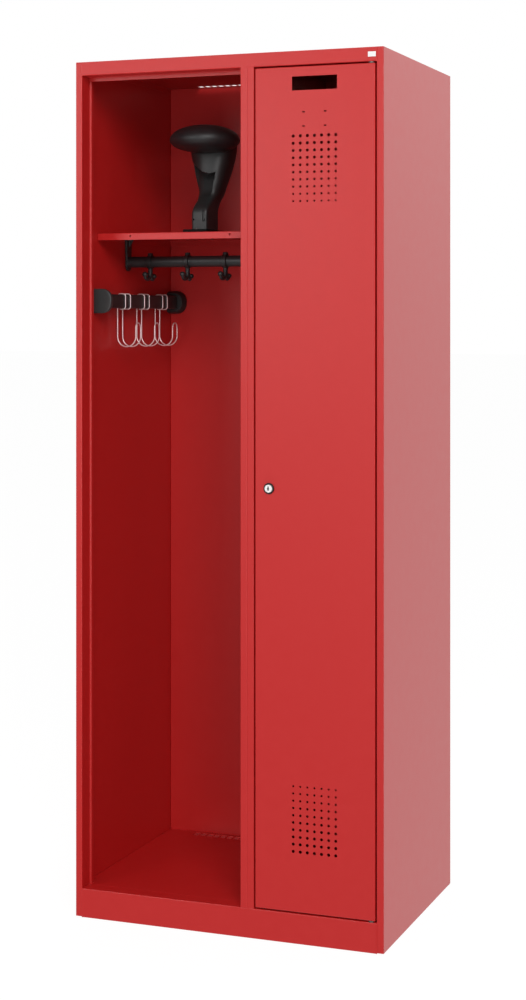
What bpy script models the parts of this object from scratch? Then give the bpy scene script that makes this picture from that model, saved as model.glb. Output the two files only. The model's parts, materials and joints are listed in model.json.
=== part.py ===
"""Two-bay steel equipment locker: an open garment bay beside a narrow bay with a lockable door.

Units are metres. The origin is the middle of the footprint on the floor, +X to the right of someone
facing the locker, +Y towards its back and +Z up. Thin sheet pieces are folded outlines that are given
their metal thickness; every piece keeps a small gap from the pieces it would be welded or screwed to.
"""

import math

import bmesh
import bpy
from mathutils import Matrix, Vector

# ---------------------------------------------------------------- driving dimensions
WIDTH = 0.700
DEPTH = 0.500
HEIGHT = 1.850
SHEET = 0.001
FIT_GAP = 0.0003
FOLD_RADIUS = 0.0016
FOLD_SEGMENTS = 2

LEFT, RIGHT = -WIDTH / 2, WIDTH / 2
FRONT, BACK = -DEPTH / 2, DEPTH / 2

SEAM_X = 0.050                 # where the two bays' walls meet
STILE = 0.015                  # visible width of one folded upright
JAMB_DEPTH = 0.037
STOP_WIDTH = 0.004
STOP_RETURN = 0.011
STOP_LEAD = 0.003              # the header's stop hangs this far before the uprights' stops
HEADER_HEIGHT = 0.0293
HEADER_STOP = 0.009
PLINTH_HEIGHT = 0.0627
STILE_FOOT = 0.002             # the side panels end this far above the floor
BACK_FACE_Y = 0.2405           # inner face of the recessed back panel
REAR_FLANGE = 0.015

SHELF_TOP_Z = 1.484
SHELF_FRONT_Y = -0.149
SHELF_LIP = 0.0152
SHELF_HOLE_RADIUS = 0.0022
SHELF_HOLE_INSET = 0.0815      # from the bay's sides
SHELF_HOLE_DROP = 0.0068       # below the shelf's top

VENT_SLOT = (0.0125, 0.021)
VENT_SLOT_PITCH = 0.017
SIDE_FOLD = 0.012              # how far the top and the floors fold down at their sides
TOP_SLOT_Y = 0.2255
FLOOR_SLOT_Y = 0.2190

DOOR_GAP_SIDE = 0.0033
DOOR_GAP_END = 0.0032
DOOR_DEPTH = 0.028
DOOR_LIP = 0.012
DOOR_EDGE_RADIUS = 0.0018

VENT_COLUMNS, VENT_ROWS = 7, 10
VENT_COLUMN_PITCH = 0.01557
VENT_ROW_PITCH = 0.015
VENT_LARGE, VENT_SMALL = 0.0033, 0.0021      # hole radii at the two ends of a grid
VENT_SIDES = 6
VENT_TOP_ROW_Z = 1.6736
VENT_BOTTOM_ROW_Z = 0.1913

WINDOW_SIZE = (0.0988, 0.029)
WINDOW_Z = 1.7825
CARD_TAB_X = 0.0238
CARD_TAB_Z = (1.6937, 1.7230)
CARD_TAB_SIZE = (0.0055, 0.0026)

STIFFENER_ENDS = (0.370, 1.490)
STIFFENER_HALF = 0.022
STIFFENER_WING = 0.012
STIFFENER_DEPTH = 0.014

HINGE_X, HINGE_Y = 0.3225, -0.2432
PIN_RADIUS = 0.0030
PIN_BORE = 0.00306
PIN_REACH = 0.016              # into the door, from the frame's face
PIN_ROOT = 0.004               # into the frame
COLLAR_RADIUS = 0.0068
BUSH_RADIUS = 0.0042
BUSH_FLANGE_RADIUS = 0.0052
BUSH_FLANGE = 0.0015
BUSH_LENGTH = 0.009

BUFFER_RADII = (0.0036, 0.0030, 0.0022)      # at its foot, under its crown, at its crown
BUFFER_TOP_INSET = (0.030, 0.0050)           # from the door's left and top edges
BUFFER_SIDE_INSET = 0.0030
BUFFER_SIDE_Z = 0.900

LOCK_X, LOCK_Z = 0.0995, 0.9415
ROSETTE_RADIUS = 0.0112
BARREL_RADIUS = 0.0092
PLUG_FACE_RADIUS = 0.0086
PLUG_RADIUS = 0.0060
RUN_GAP = 0.00008
LOCK_PROUD = 0.0042            # the rosette stands this far off the door
LOCK_LENGTH = 0.0295
PLUG_PROUD = 0.0055
PLUG_SEAT = 0.0008             # floor of the recess that the plug's face turns in
CAM_SQUARE = 0.0034
KEY_SLOT = (0.0016, 0.0084)
KEY_SLOT_DEPTH = 0.0025
NUT_RADIUS = 0.0135
NUT_THICKNESS = 0.004
CAM_THICKNESS = 0.0022
CAM_CLEARANCE = 0.0004         # from the housing's end to the plug's shoulder
CAM_JOURNAL = 0.0030
CAM_SCREW_SHANK = 0.0015
CAM_CRANK = 0.0195
CAM_HALF_WIDTH = 0.0075
CAM_REACHES = (0.0110, -0.0150, -0.0230, -0.0415)    # heel, start and end of the crank, tip

RAIL_Z = 1.4245
RAIL_RADIUS = 0.0125
RAIL_WALL = 0.0015
BRACKET_PLATE = 0.005
BRACKET_STUB = 0.010
BRACKET_FOOT_Z = 1.4160
BRACKET_FOOT_RADIUS = 0.0115
BRACKET_FLANGE = (0.019, 0.031, 0.003)
BRACKET_RIB = (0.0138, 0.0030, 0.0190)       # reach, thickness, depth below the flange

HOOK_PITCH = 0.0928
HOOK_RING_WALL = 0.0032
HOOK_RING_WIDTH = 0.0120
HOOK_ROD_RADIUS = 0.0042
HOOK_GRIP_RADII = (0.0068, 0.0058)
HOOK_BALL_RADIUS = 0.0066
HOOK_DROP = 0.0405             # from the rail's middle to the prongs' low point
HOOK_BEND = 0.010
HOOK_PRONGS = (("front", -1, 0.0285, 0.011), ("rear", 1, 0.0190, 0.007))    # side, reach and rise

SIDE_RAIL_Z = 1.3340
SIDE_RAIL_X = -0.3300
SIDE_RAIL_SIZE = (0.016, 0.031)
SIDE_RAIL_ENDS = (-0.170, 0.2400)
CAP_LENGTH = 0.020
CAP_OUTER = (0.0440, 0.0270)
CAP_INNER = (0.0385, 0.0228)
CAP_POCKET = 0.008
WIRE_RADIUS = 0.0014
WIRE_SPACING = 0.0255
WIRE_HOOK_Y = (-0.053, 0.047, 0.147)
WIRE_HOOK_BOTTOM_Z = 1.2300
WIRE_HOOK_TIP_Z = 1.2868
WIRE_HOOK_RADIUS = 0.0225
WIRE_BEND = 0.0045
WIRE_CLEARANCE = 0.0004

STAND_X = -0.150
STAND_BASE = (0.060, 0.108, 0.0098)
STAND_BASE_Y = -0.014
STAND_SCREW_Y = (STAND_BASE_Y - 0.041, STAND_BASE_Y + 0.047)
STAND_SCREW_HOLE = 0.0028
PAD_CENTRE = Vector((-0.150, -0.010, 1.7020))
PAD_SEMI = Vector((0.0800, 0.0740, 0.0330))

BADGE_LOW = (0.3165, FRONT - 0.0009, 1.8300)
BADGE_HIGH = (0.3335, FRONT - FIT_GAP, 1.8405)

LEFT_BAY = (LEFT, SEAM_X)
RIGHT_BAY = (SEAM_X, RIGHT)
HEADER_Z = HEIGHT - HEADER_HEIGHT
HEADER_STOP_Y = FRONT + JAMB_DEPTH - STOP_LEAD
SIDE_INNER = WIDTH / 2 - SHEET          # inner face of a side panel, from the middle
WALL_HALF = FIT_GAP / 2                 # half of the gap between the two middle walls


# ---------------------------------------------------------------- scene and materials
def clear_scene():
    for item in list(bpy.data.objects):
        bpy.data.objects.remove(item, do_unlink=True)
    for name in ("locker", "locker_cutters"):
        old = bpy.data.collections.get(name)
        if old:
            bpy.data.collections.remove(old)


def make_collection(name):
    group = bpy.data.collections.new(name)
    bpy.context.scene.collection.children.link(group)
    return group


clear_scene()
PARTS = make_collection("locker")
CUTTERS = make_collection("locker_cutters")

FINISHES = {
    "red_powder_coat": ((0.47, 0.022, 0.022), 0.38, 0.0),
    "black_powder_coat": ((0.018, 0.019, 0.020), 0.45, 0.0),
    "black_plastic": ((0.014, 0.014, 0.015), 0.50, 0.0),
    "chrome": ((0.72, 0.72, 0.74), 0.14, 1.0),
    "zinc_steel": ((0.48, 0.48, 0.47), 0.34, 1.0),
    "black_rubber": ((0.010, 0.010, 0.010), 0.80, 0.0),
    "pale_plate": ((0.82, 0.80, 0.80), 0.40, 0.0),
}


def material_for(piece_name, finish):
    colour, roughness, metallic = FINISHES[finish]
    material = bpy.data.materials.new(f"{piece_name}_{finish}")
    material.use_nodes = True
    shader = material.node_tree.nodes["Principled BSDF"]
    shader.inputs["Base Color"].default_value = (*colour, 1.0)
    shader.inputs["Roughness"].default_value = roughness
    shader.inputs["Metallic"].default_value = metallic
    return material


def add_object(name, mesh, finish, location=(0.0, 0.0, 0.0)):
    piece = bpy.data.objects.new(name, mesh)
    piece.location = location
    mesh.materials.clear()
    mesh.materials.append(material_for(name, finish))
    PARTS.objects.link(piece)
    return piece


def mesh_from(bm, name):
    bmesh.ops.recalc_face_normals(bm, faces=bm.faces)
    mesh = bpy.data.meshes.new(name)
    bm.to_mesh(mesh)
    bm.free()
    return mesh


# ---------------------------------------------------------------- modelling helpers
def box_mesh(name, size):
    bm = bmesh.new()
    bmesh.ops.create_cube(bm, size=1.0)
    bmesh.ops.scale(bm, vec=size, verts=bm.verts)
    return mesh_from(bm, name)


def box(name, finish, low, high, edge=0.0, segments=2):
    size = [h - l for l, h in zip(low, high)]
    centre = [(h + l) / 2 for l, h in zip(low, high)]
    piece = add_object(name, box_mesh(name, size), finish, centre)
    if edge:
        round_edges(piece, edge, segments)
    return piece


def round_edges(piece, width, segments=2, angle=math.radians(30)):
    bevel = piece.modifiers.new("edges", "BEVEL")
    bevel.width = width
    bevel.segments = segments
    bevel.limit_method = "ANGLE"
    bevel.angle_limit = angle


def thicken(piece, thickness, side):
    shell = piece.modifiers.new("metal", "SOLIDIFY")
    shell.thickness = thickness
    shell.offset = side
    shell.use_even_offset = True


def folded_sheet(name, finish, path, along, start, end, metal, radius=FOLD_RADIUS):
    """A sheet folded along a 2D path and drawn out along X, Y or Z.

    The path follows one face; metal says whether the thickness lies to its left or to its right.
    """
    place = {
        "X": lambda a, b, t: (t, a, b),
        "Y": lambda a, b, t: (a, t, b),
        "Z": lambda a, b, t: (a, b, t),
    }[along]
    bm = bmesh.new()
    lower = [bm.verts.new(place(a, b, start)) for a, b in path]
    upper = [bm.verts.new(place(a, b, end)) for a, b in path]
    for i in range(len(path) - 1):
        bm.faces.new((lower[i], lower[i + 1], upper[i + 1], upper[i]))
    mesh = bpy.data.meshes.new(name)
    bm.to_mesh(mesh)
    bm.free()
    piece = add_object(name, mesh, finish)
    if len(path) > 2:
        round_edges(piece, radius, FOLD_SEGMENTS)
    normal_side = "left" if along == "Y" else "right"
    thicken(piece, SHEET, 1.0 if metal == normal_side else -1.0)
    return piece


def tray(name, finish, low, high, open_side, radius=FOLD_RADIUS, lip=0.0):
    """A folded pan: a box with one face left open, or open inside a turned-in lip."""
    bm = bmesh.new()
    bmesh.ops.create_cube(bm, size=1.0)
    bmesh.ops.scale(bm, vec=[h - l for l, h in zip(low, high)], verts=bm.verts)
    facing = Vector(open_side)
    opened = max(bm.faces, key=lambda face: face.normal.dot(facing))
    if lip:
        bmesh.ops.inset_individual(bm, faces=[opened], thickness=lip)
        bm.normal_update()
        opened = max(bm.faces, key=lambda face: (round(face.normal.dot(facing), 3), face.calc_area()))
    bmesh.ops.delete(bm, geom=[opened], context="FACES_ONLY")
    mesh = bpy.data.meshes.new(name)
    bm.to_mesh(mesh)
    bm.free()
    piece = add_object(name, mesh, finish, [(h + l) / 2 for l, h in zip(low, high)])
    round_edges(piece, radius, FOLD_SEGMENTS)
    thicken(piece, SHEET, -1.0)
    return piece


def turned(name, finish, profile, centre, axis, steps=24):
    """A turned piece: profile is (radius, distance along the axis) from the far end to the near one."""
    mesh = bpy.data.meshes.new(name)
    mesh.from_pydata([(r, 0.0, t) for r, t in profile],
                     [(i, i + 1) for i in range(len(profile) - 1)], [])
    piece = add_object(name, mesh, finish, centre)
    screw = piece.modifiers.new("turn", "SCREW")
    screw.axis = "Z"
    screw.steps = steps
    screw.render_steps = steps
    screw.use_merge_vertices = True
    screw.merge_threshold = 0.00002
    screw.use_normal_calculate = False
    direction = Vector(axis)
    piece.rotation_euler = Vector((0, 0, 1)).rotation_difference(direction).to_euler()
    return piece


def closed_ring(profile):
    """Repeats the first point so that a turned profile closes round a bore."""
    return [*profile, profile[0]]


def loft(name, finish, sections, location=(0.0, 0.0, 0.0)):
    """A solid between unlike outlines with the same number of points, one per level."""
    bm = bmesh.new()
    rings = [[bm.verts.new(point) for point in ring] for ring in sections]
    count = len(rings[0])
    for lower, upper in zip(rings, rings[1:]):
        for i in range(count):
            j = (i + 1) % count
            bm.faces.new((lower[i], lower[j], upper[j], upper[i]))
    bm.faces.new(list(reversed(rings[0])))
    bm.faces.new(rings[-1])
    return add_object(name, mesh_from(bm, name), finish, location)


def wire_mesh(name, points, radius):
    """The closed, welded mesh of a round wire along straight runs between the points."""
    curve = bpy.data.curves.new(f"{name}_path", "CURVE")
    curve.dimensions = "3D"
    curve.bevel_depth = radius
    curve.bevel_resolution = 1
    curve.use_fill_caps = True
    curve.resolution_u = 1
    curve.render_resolution_u = 0
    spline = curve.splines.new("POLY")
    spline.points.add(len(points) - 1)
    for node, point in zip(spline.points, points):
        node.co = (*point, 1.0)
    holder = bpy.data.objects.new(f"{name}_curve", curve)
    CUTTERS.objects.link(holder)
    bpy.context.view_layer.update()
    evaluated = holder.evaluated_get(bpy.context.evaluated_depsgraph_get())
    mesh = bpy.data.meshes.new_from_object(evaluated)
    bpy.data.objects.remove(holder, do_unlink=True)
    bm = bmesh.new()
    bm.from_mesh(mesh)
    bmesh.ops.remove_doubles(bm, verts=bm.verts, dist=0.00005)
    bmesh.ops.recalc_face_normals(bm, faces=bm.faces)
    bm.to_mesh(mesh)
    bm.free()
    mesh.name = name
    return mesh


def cutter(name, mesh, location=(0.0, 0.0, 0.0)):
    piece = bpy.data.objects.new(name, mesh)
    piece.location = location
    piece.hide_render = True
    piece.display_type = "WIRE"
    CUTTERS.objects.link(piece)
    return piece


def boolean(piece, tool, operation="DIFFERENCE"):
    change = piece.modifiers.new(tool.name, "BOOLEAN")
    change.object = tool
    change.operation = operation
    change.solver = "EXACT"


def cut_boxes(piece, name, boxes):
    """Cuts a set of (low, high) boxes out of a piece."""
    bm = bmesh.new()
    for low, high in boxes:
        made = bmesh.ops.create_cube(bm, size=1.0)["verts"]
        bmesh.ops.scale(bm, vec=[h - l for l, h in zip(low, high)], verts=made)
        bmesh.ops.translate(bm, vec=[(h + l) / 2 for l, h in zip(low, high)], verts=made)
    boolean(piece, cutter(name, mesh_from(bm, name)))


def cut_rods(piece, name, rods, axis, length, sides=12):
    """Cuts round holes: rods is a list of (centre, radius)."""
    turn = Vector((0, 0, 1)).rotation_difference(Vector(axis)).to_matrix().to_4x4()
    bm = bmesh.new()
    for centre, radius in rods:
        place = Matrix.Translation(centre) @ turn @ Matrix.Rotation(math.pi / sides, 4, "Z")
        bmesh.ops.create_cone(bm, cap_ends=True, segments=sides, radius1=radius, radius2=radius,
                              depth=length, matrix=place)
    boolean(piece, cutter(name, mesh_from(bm, name)))


def smooth(piece):
    piece.data.shade_smooth()
    piece.data.set_sharp_from_angle(angle=math.radians(35))


def arc(cx, cy, radius, start, end, count):
    """Points on a circle from start to end, in degrees."""
    return [
        (cx + radius * math.cos(math.radians(start + (end - start) * i / count)),
         cy + radius * math.sin(math.radians(start + (end - start) * i / count)))
        for i in range(count + 1)
    ]


def superellipse(half_x, half_y, power, count):
    """A rounded outline between an ellipse (power 2) and a rectangle (high power)."""
    points = []
    for i in range(count):
        angle = 2 * math.pi * i / count
        c, s = math.cos(angle), math.sin(angle)
        points.append((half_x * math.copysign(abs(c) ** (2 / power), c),
                       half_y * math.copysign(abs(s) ** (2 / power), s)))
    return points


# ---------------------------------------------------------------- carcass
def side_panel(name, sign):
    """Outer wall with a rear flange and, at the front, the folded upright with its stop."""
    jamb_x = LEFT + STILE
    path = [
        (LEFT + REAR_FLANGE, BACK),
        (LEFT, BACK),
        (LEFT, FRONT),
        (jamb_x, FRONT),
        (jamb_x, FRONT + JAMB_DEPTH),
        (jamb_x + STOP_WIDTH, FRONT + JAMB_DEPTH),
        (jamb_x + STOP_WIDTH, FRONT + JAMB_DEPTH + STOP_RETURN),
    ]
    if sign > 0:
        path = [(-x, y) for x, y in path]
    piece = folded_sheet(name, "red_powder_coat", path, "Z", STILE_FOOT, HEIGHT,
                         metal="right" if sign > 0 else "left")
    near, far = WIDTH / 2 - SHEET - WALL_HALF, WIDTH / 2 - 0.030
    across = sorted((sign * near, sign * far))
    reach = DEPTH / 2 - SHEET - WALL_HALF
    cut_boxes(piece, f"{name}_top_notch", [
        ((across[0], -reach, HEIGHT - SHEET - FIT_GAP), (across[1], reach, HEIGHT + 0.01)),
    ])


def middle_wall(name, sign):
    """One bay's inner wall; its front folds away from the seam into that bay's upright."""
    seam = SEAM_X + sign * WALL_HALF
    jamb_x = SEAM_X + sign * (STILE + WALL_HALF)
    path = [
        (seam, BACK_FACE_Y - FIT_GAP),
        (seam, FRONT),
        (jamb_x, FRONT),
        (jamb_x, FRONT + JAMB_DEPTH),
        (jamb_x + sign * STOP_WIDTH, FRONT + JAMB_DEPTH),
        (jamb_x + sign * STOP_WIDTH, FRONT + JAMB_DEPTH + STOP_RETURN),
    ]
    low_z, high_z = PLINTH_HEIGHT + FIT_GAP, HEIGHT - SHEET - FIT_GAP
    piece = folded_sheet(name, "red_powder_coat", path, "Z", low_z, high_z,
                         metal="left" if sign > 0 else "right")
    notch_x = sorted((SEAM_X + sign * WALL_HALF / 2, SEAM_X + sign * 0.030))
    stop_y = FRONT + JAMB_DEPTH - FIT_GAP
    cut_boxes(piece, f"{name}_header_notch", [
        ((notch_x[0], FRONT - 0.01, HEADER_Z - FIT_GAP), (notch_x[1], stop_y, HEIGHT + 0.01)),
    ])


def header():
    stop_y = HEADER_STOP_Y
    path = [
        (FRONT, HEIGHT),
        (FRONT, HEADER_Z),
        (stop_y, HEADER_Z),
        (stop_y, HEADER_Z - HEADER_STOP),
    ]
    half = WIDTH / 2 - STILE - FIT_GAP
    piece = folded_sheet("header_rail", "red_powder_coat", path, "X", -half, half, metal="left")
    clear_x = STILE + STOP_WIDTH + FIT_GAP
    cut_boxes(piece, "header_stop_notch", [
        ((SEAM_X - clear_x, stop_y - 0.002, HEADER_Z - 0.02),
         (SEAM_X + clear_x, stop_y + 0.004, HEADER_Z - FIT_GAP)),
    ])
    cut_rods(piece, "header_pin_hole", [((HINGE_X, HINGE_Y, HEADER_Z), PIN_RADIUS + FIT_GAP)],
             (0, 0, 1), 0.01, sides=16)


def plinth_front():
    path = [
        (FRONT + 0.020, 0.0),
        (FRONT, 0.0),
        (FRONT, PLINTH_HEIGHT),
        (HEADER_STOP_Y, PLINTH_HEIGHT),
    ]
    half = WIDTH / 2 - STILE - FIT_GAP
    piece = folded_sheet("plinth_front", "red_powder_coat", path, "X", -half, half, metal="right")
    cut_rods(piece, "plinth_pin_hole",
             [((HINGE_X, HINGE_Y, PLINTH_HEIGHT), PIN_RADIUS + FIT_GAP)], (0, 0, 1), 0.01, sides=16)


def plinth_rear():
    rear = BACK - SHEET - FIT_GAP
    top = PLINTH_HEIGHT - 2 * SHEET - FIT_GAP
    behind_floor = BACK_FACE_Y + FIT_GAP
    path = [(rear - 0.015, 0.0), (rear, 0.0), (rear, top), (behind_floor, top)]
    half = SIDE_INNER - FIT_GAP
    folded_sheet("plinth_rear", "red_powder_coat", path, "X", -half, half, metal="left")


def back_panel():
    rear = BACK - SHEET - FIT_GAP
    half = SIDE_INNER - FIT_GAP
    path = [(-half, rear), (-half, BACK_FACE_Y), (half, BACK_FACE_Y), (half, rear)]
    folded_sheet("back_panel", "red_powder_coat", path, "Z",
                 PLINTH_HEIGHT - 2 * SHEET, HEIGHT - SHEET - FIT_GAP, metal="left")


def slot_row(centre_x, y, z, count):
    half_x, half_y = VENT_SLOT[0] / 2, VENT_SLOT[1] / 2
    boxes = []
    for i in range(count):
        x = centre_x + (i - (count - 1) / 2) * VENT_SLOT_PITCH
        boxes.append(((x - half_x, y - half_y, z - 0.006), (x + half_x, y + half_y, z + 0.006)))
    return boxes


def top_panel():
    half = SIDE_INNER - FIT_GAP
    path = [(-half, HEIGHT - SIDE_FOLD), (-half, HEIGHT), (half, HEIGHT), (half, HEIGHT - SIDE_FOLD)]
    piece = folded_sheet("top_panel", "red_powder_coat", path, "Y",
                         FRONT + SHEET + FIT_GAP, BACK - SHEET - FIT_GAP, metal="right")
    slots = slot_row(sum(LEFT_BAY) / 2, TOP_SLOT_Y, HEIGHT, 14)
    slots += slot_row(sum(RIGHT_BAY) / 2, TOP_SLOT_Y, HEIGHT, 10)
    corners = []
    for low_x, high_x in ((-half - 0.002, -half + 0.004), (half - 0.004, half + 0.002)):
        corners.append(((low_x, BACK_FACE_Y - FIT_GAP, HEIGHT - 0.02),
                        (high_x, BACK + 0.01, HEIGHT - SHEET - FIT_GAP)))
    cut_boxes(piece, "top_cuts", slots + corners)


def floor_panel(name, bay, slots):
    """The raised floor of one bay, notched round the uprights' stops."""
    low_x = bay[0] + (SHEET if bay[0] == LEFT else WALL_HALF + SHEET) + FIT_GAP
    high_x = bay[1] - (SHEET if bay[1] == RIGHT else WALL_HALF + SHEET) - FIT_GAP
    path = [(low_x, PLINTH_HEIGHT - SIDE_FOLD), (low_x, PLINTH_HEIGHT),
            (high_x, PLINTH_HEIGHT), (high_x, PLINTH_HEIGHT - SIDE_FOLD)]
    front_y = HEADER_STOP_Y + FIT_GAP
    piece = folded_sheet(name, "red_powder_coat", path, "Y", front_y, BACK_FACE_Y - FIT_GAP,
                         metal="right")
    reach = STILE + STOP_WIDTH + FIT_GAP
    notch_end = FRONT + JAMB_DEPTH + STOP_RETURN + FIT_GAP
    notches = []
    for edge, sign in ((bay[0], 1), (bay[1], -1)):
        across = sorted((edge - sign * 0.002, edge + sign * reach))
        notches.append(((across[0], front_y - 0.01, 0.03), (across[1], notch_end, 0.09)))
    notches += slot_row(sum(bay) / 2, FLOOR_SLOT_Y, PLINTH_HEIGHT, slots)
    cut_boxes(piece, f"{name}_cuts", notches)


def shelf(name, bay):
    low_x = bay[0] + (SHEET if bay[0] == LEFT else WALL_HALF + SHEET) + FIT_GAP
    high_x = bay[1] - (SHEET if bay[1] == RIGHT else WALL_HALF + SHEET) - FIT_GAP
    piece = tray(name, "red_powder_coat", (low_x, SHELF_FRONT_Y, SHELF_TOP_Z - SHELF_LIP),
                 (high_x, BACK_FACE_Y - FIT_GAP, SHELF_TOP_Z), (0, 0, -1))
    holes = [((x, SHELF_FRONT_Y, SHELF_TOP_Z - SHELF_HOLE_DROP), SHELF_HOLE_RADIUS)
             for x in (bay[0] + SHELF_HOLE_INSET, bay[1] - SHELF_HOLE_INSET)]
    cut_rods(piece, f"{name}_front_holes", holes, (0, 1, 0), 0.01)
    return piece


# ---------------------------------------------------------------- clothes rails and sliding hooks
def clothes_rail(name, bay):
    """A black tube between two brackets that hang under the shelf."""
    low_x = bay[0] + SHEET + 3 * FIT_GAP + SHEET
    high_x = bay[1] - SHEET - 3 * FIT_GAP - SHEET
    start, end = low_x + BRACKET_PLATE + FIT_GAP, high_x - BRACKET_PLATE - FIT_GAP
    inner, length = RAIL_RADIUS - RAIL_WALL, end - start
    profile = closed_ring([(RAIL_RADIUS, length), (RAIL_RADIUS, 0.0), (inner, 0.0), (inner, length)])
    smooth(turned(name, "black_powder_coat", profile, (start, 0.0, RAIL_Z), (1, 0, 0)))
    sides = ("outer", "inner") if bay == LEFT_BAY else ("inner", "outer")
    rail_bracket(f"{name}_bracket_{sides[0]}", low_x, 1)
    rail_bracket(f"{name}_bracket_{sides[1]}", high_x, -1)


def rail_bracket(name, wall_x, sign):
    """A tapered plate with a rounded foot, a top flange, a rib, and a stub inside the tube."""
    top_z = SHELF_TOP_Z - SHEET - FIT_GAP
    flange_x, flange_y, flange_z = BRACKET_FLANGE
    foot = arc(0.0, BRACKET_FOOT_Z, BRACKET_FOOT_RADIUS, 180, 360, 8)
    outline = [*foot, (flange_y / 2, top_z), (-flange_y / 2, top_z)]
    far_x = wall_x + sign * BRACKET_PLATE
    sections = [[(x, y, z) for y, z in outline] for x in (wall_x, far_x)]
    piece = loft(name, "black_plastic", sections)
    joins = (
        ("flange", box_mesh(f"{name}_flange", BRACKET_FLANGE),
         (far_x + sign * (flange_x / 2 - 0.0005), 0.0, top_z - flange_z / 2)),
        ("rib", bracket_rib(f"{name}_rib", sign, flange_z), (far_x, 0.0, top_z)),
        ("stub", bracket_stub(f"{name}_stub"), (far_x + sign * (BRACKET_STUB / 2 - 0.001), 0.0, RAIL_Z)),
    )
    for label, mesh, place in joins:
        boolean(piece, cutter(f"{name}_{label}_shape", mesh, place), "UNION")


def bracket_rib(name, sign, flange_thickness):
    """A triangular web that runs a little into the plate and the flange, which it joins."""
    reach, thickness, depth = BRACKET_RIB
    overlap = 0.0002
    corners = [(-overlap / 2, overlap - flange_thickness),
               (reach - overlap / 2, overlap - flange_thickness),
               (-overlap / 2, overlap - flange_thickness - depth)]
    rib = bmesh.new()
    low = [rib.verts.new((sign * x, -thickness / 2, z)) for x, z in corners]
    high = [rib.verts.new((sign * x, thickness / 2, z)) for x, z in corners]
    rib.faces.new(low)
    rib.faces.new(list(reversed(high)))
    for i in range(3):
        j = (i + 1) % 3
        rib.faces.new((low[j], low[i], high[i], high[j]))
    return mesh_from(rib, name)


def bracket_stub(name):
    radius = RAIL_RADIUS - RAIL_WALL - FIT_GAP
    peg = bmesh.new()
    bmesh.ops.create_cone(peg, cap_ends=True, segments=20, radius1=radius, radius2=radius,
                          depth=BRACKET_STUB + 0.002, matrix=Matrix.Rotation(math.pi / 2, 4, "Y"))
    return mesh_from(peg, name)


def coat_hook(name, x):
    """A ring that slides on the rail, with a grip on top and a double hook below."""
    inner, outer, half = RAIL_RADIUS + FIT_GAP, RAIL_RADIUS + HOOK_RING_WALL, HOOK_RING_WIDTH / 2
    profile = closed_ring([(outer, half), (outer, -half), (inner, -half), (inner, half)])
    piece = turned(name, "black_plastic", profile, (x, 0.0, RAIL_Z), (1, 0, 0), steps=16)
    grip = bmesh.new()
    bmesh.ops.create_cone(grip, cap_ends=True, segments=8, radius1=HOOK_GRIP_RADII[0],
                          radius2=HOOK_GRIP_RADII[1], depth=0.006)
    boolean(piece, cutter(f"{name}_grip_shape", mesh_from(grip, f"{name}_grip"),
                          (x, 0.0, RAIL_Z + outer + 0.0018)), "UNION")
    bottom, start_z = RAIL_Z - HOOK_DROP, RAIL_Z - outer + 0.0015
    for label, sign, reach, rise in HOOK_PRONGS:
        path = [(0.0, 0.0, start_z), (0.0, 0.0, bottom + HOOK_BEND)]
        path += [(0.0, sign * (HOOK_BEND - py), bottom + HOOK_BEND - pz)
                 for py, pz in arc(0.0, 0.0, HOOK_BEND, 0, 90, 3)[1:]]
        path += [(0.0, sign * (reach - 0.006), bottom), (0.0, sign * (reach - 0.001), bottom + 0.003),
                 (0.0, sign * reach, bottom + rise)]
        prong = wire_mesh(f"{name}_{label}_prong", path, HOOK_ROD_RADIUS)
        boolean(piece, cutter(f"{name}_{label}_prong_shape", prong, (x, 0.0, 0.0)), "UNION")
        ball = bmesh.new()
        bmesh.ops.create_uvsphere(ball, u_segments=8, v_segments=5, radius=HOOK_BALL_RADIUS)
        boolean(piece, cutter(f"{name}_{label}_ball_shape", mesh_from(ball, f"{name}_{label}_ball"),
                              (x, sign * reach, bottom + rise)), "UNION")


# ---------------------------------------------------------------- side rail with wire hooks
def d_outline(width, half_height, count=14, power=3.2):
    """A D with its flat side on x = 0 and its bow towards +X."""
    points = []
    for i in range(count + 1):
        angle = math.radians(-90 + 180 * i / count)
        c, s = max(math.cos(angle), 0.0), math.sin(angle)
        points.append((width * c ** (2 / power), half_height * math.copysign(abs(s) ** (2 / power), s)))
    return points


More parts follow.
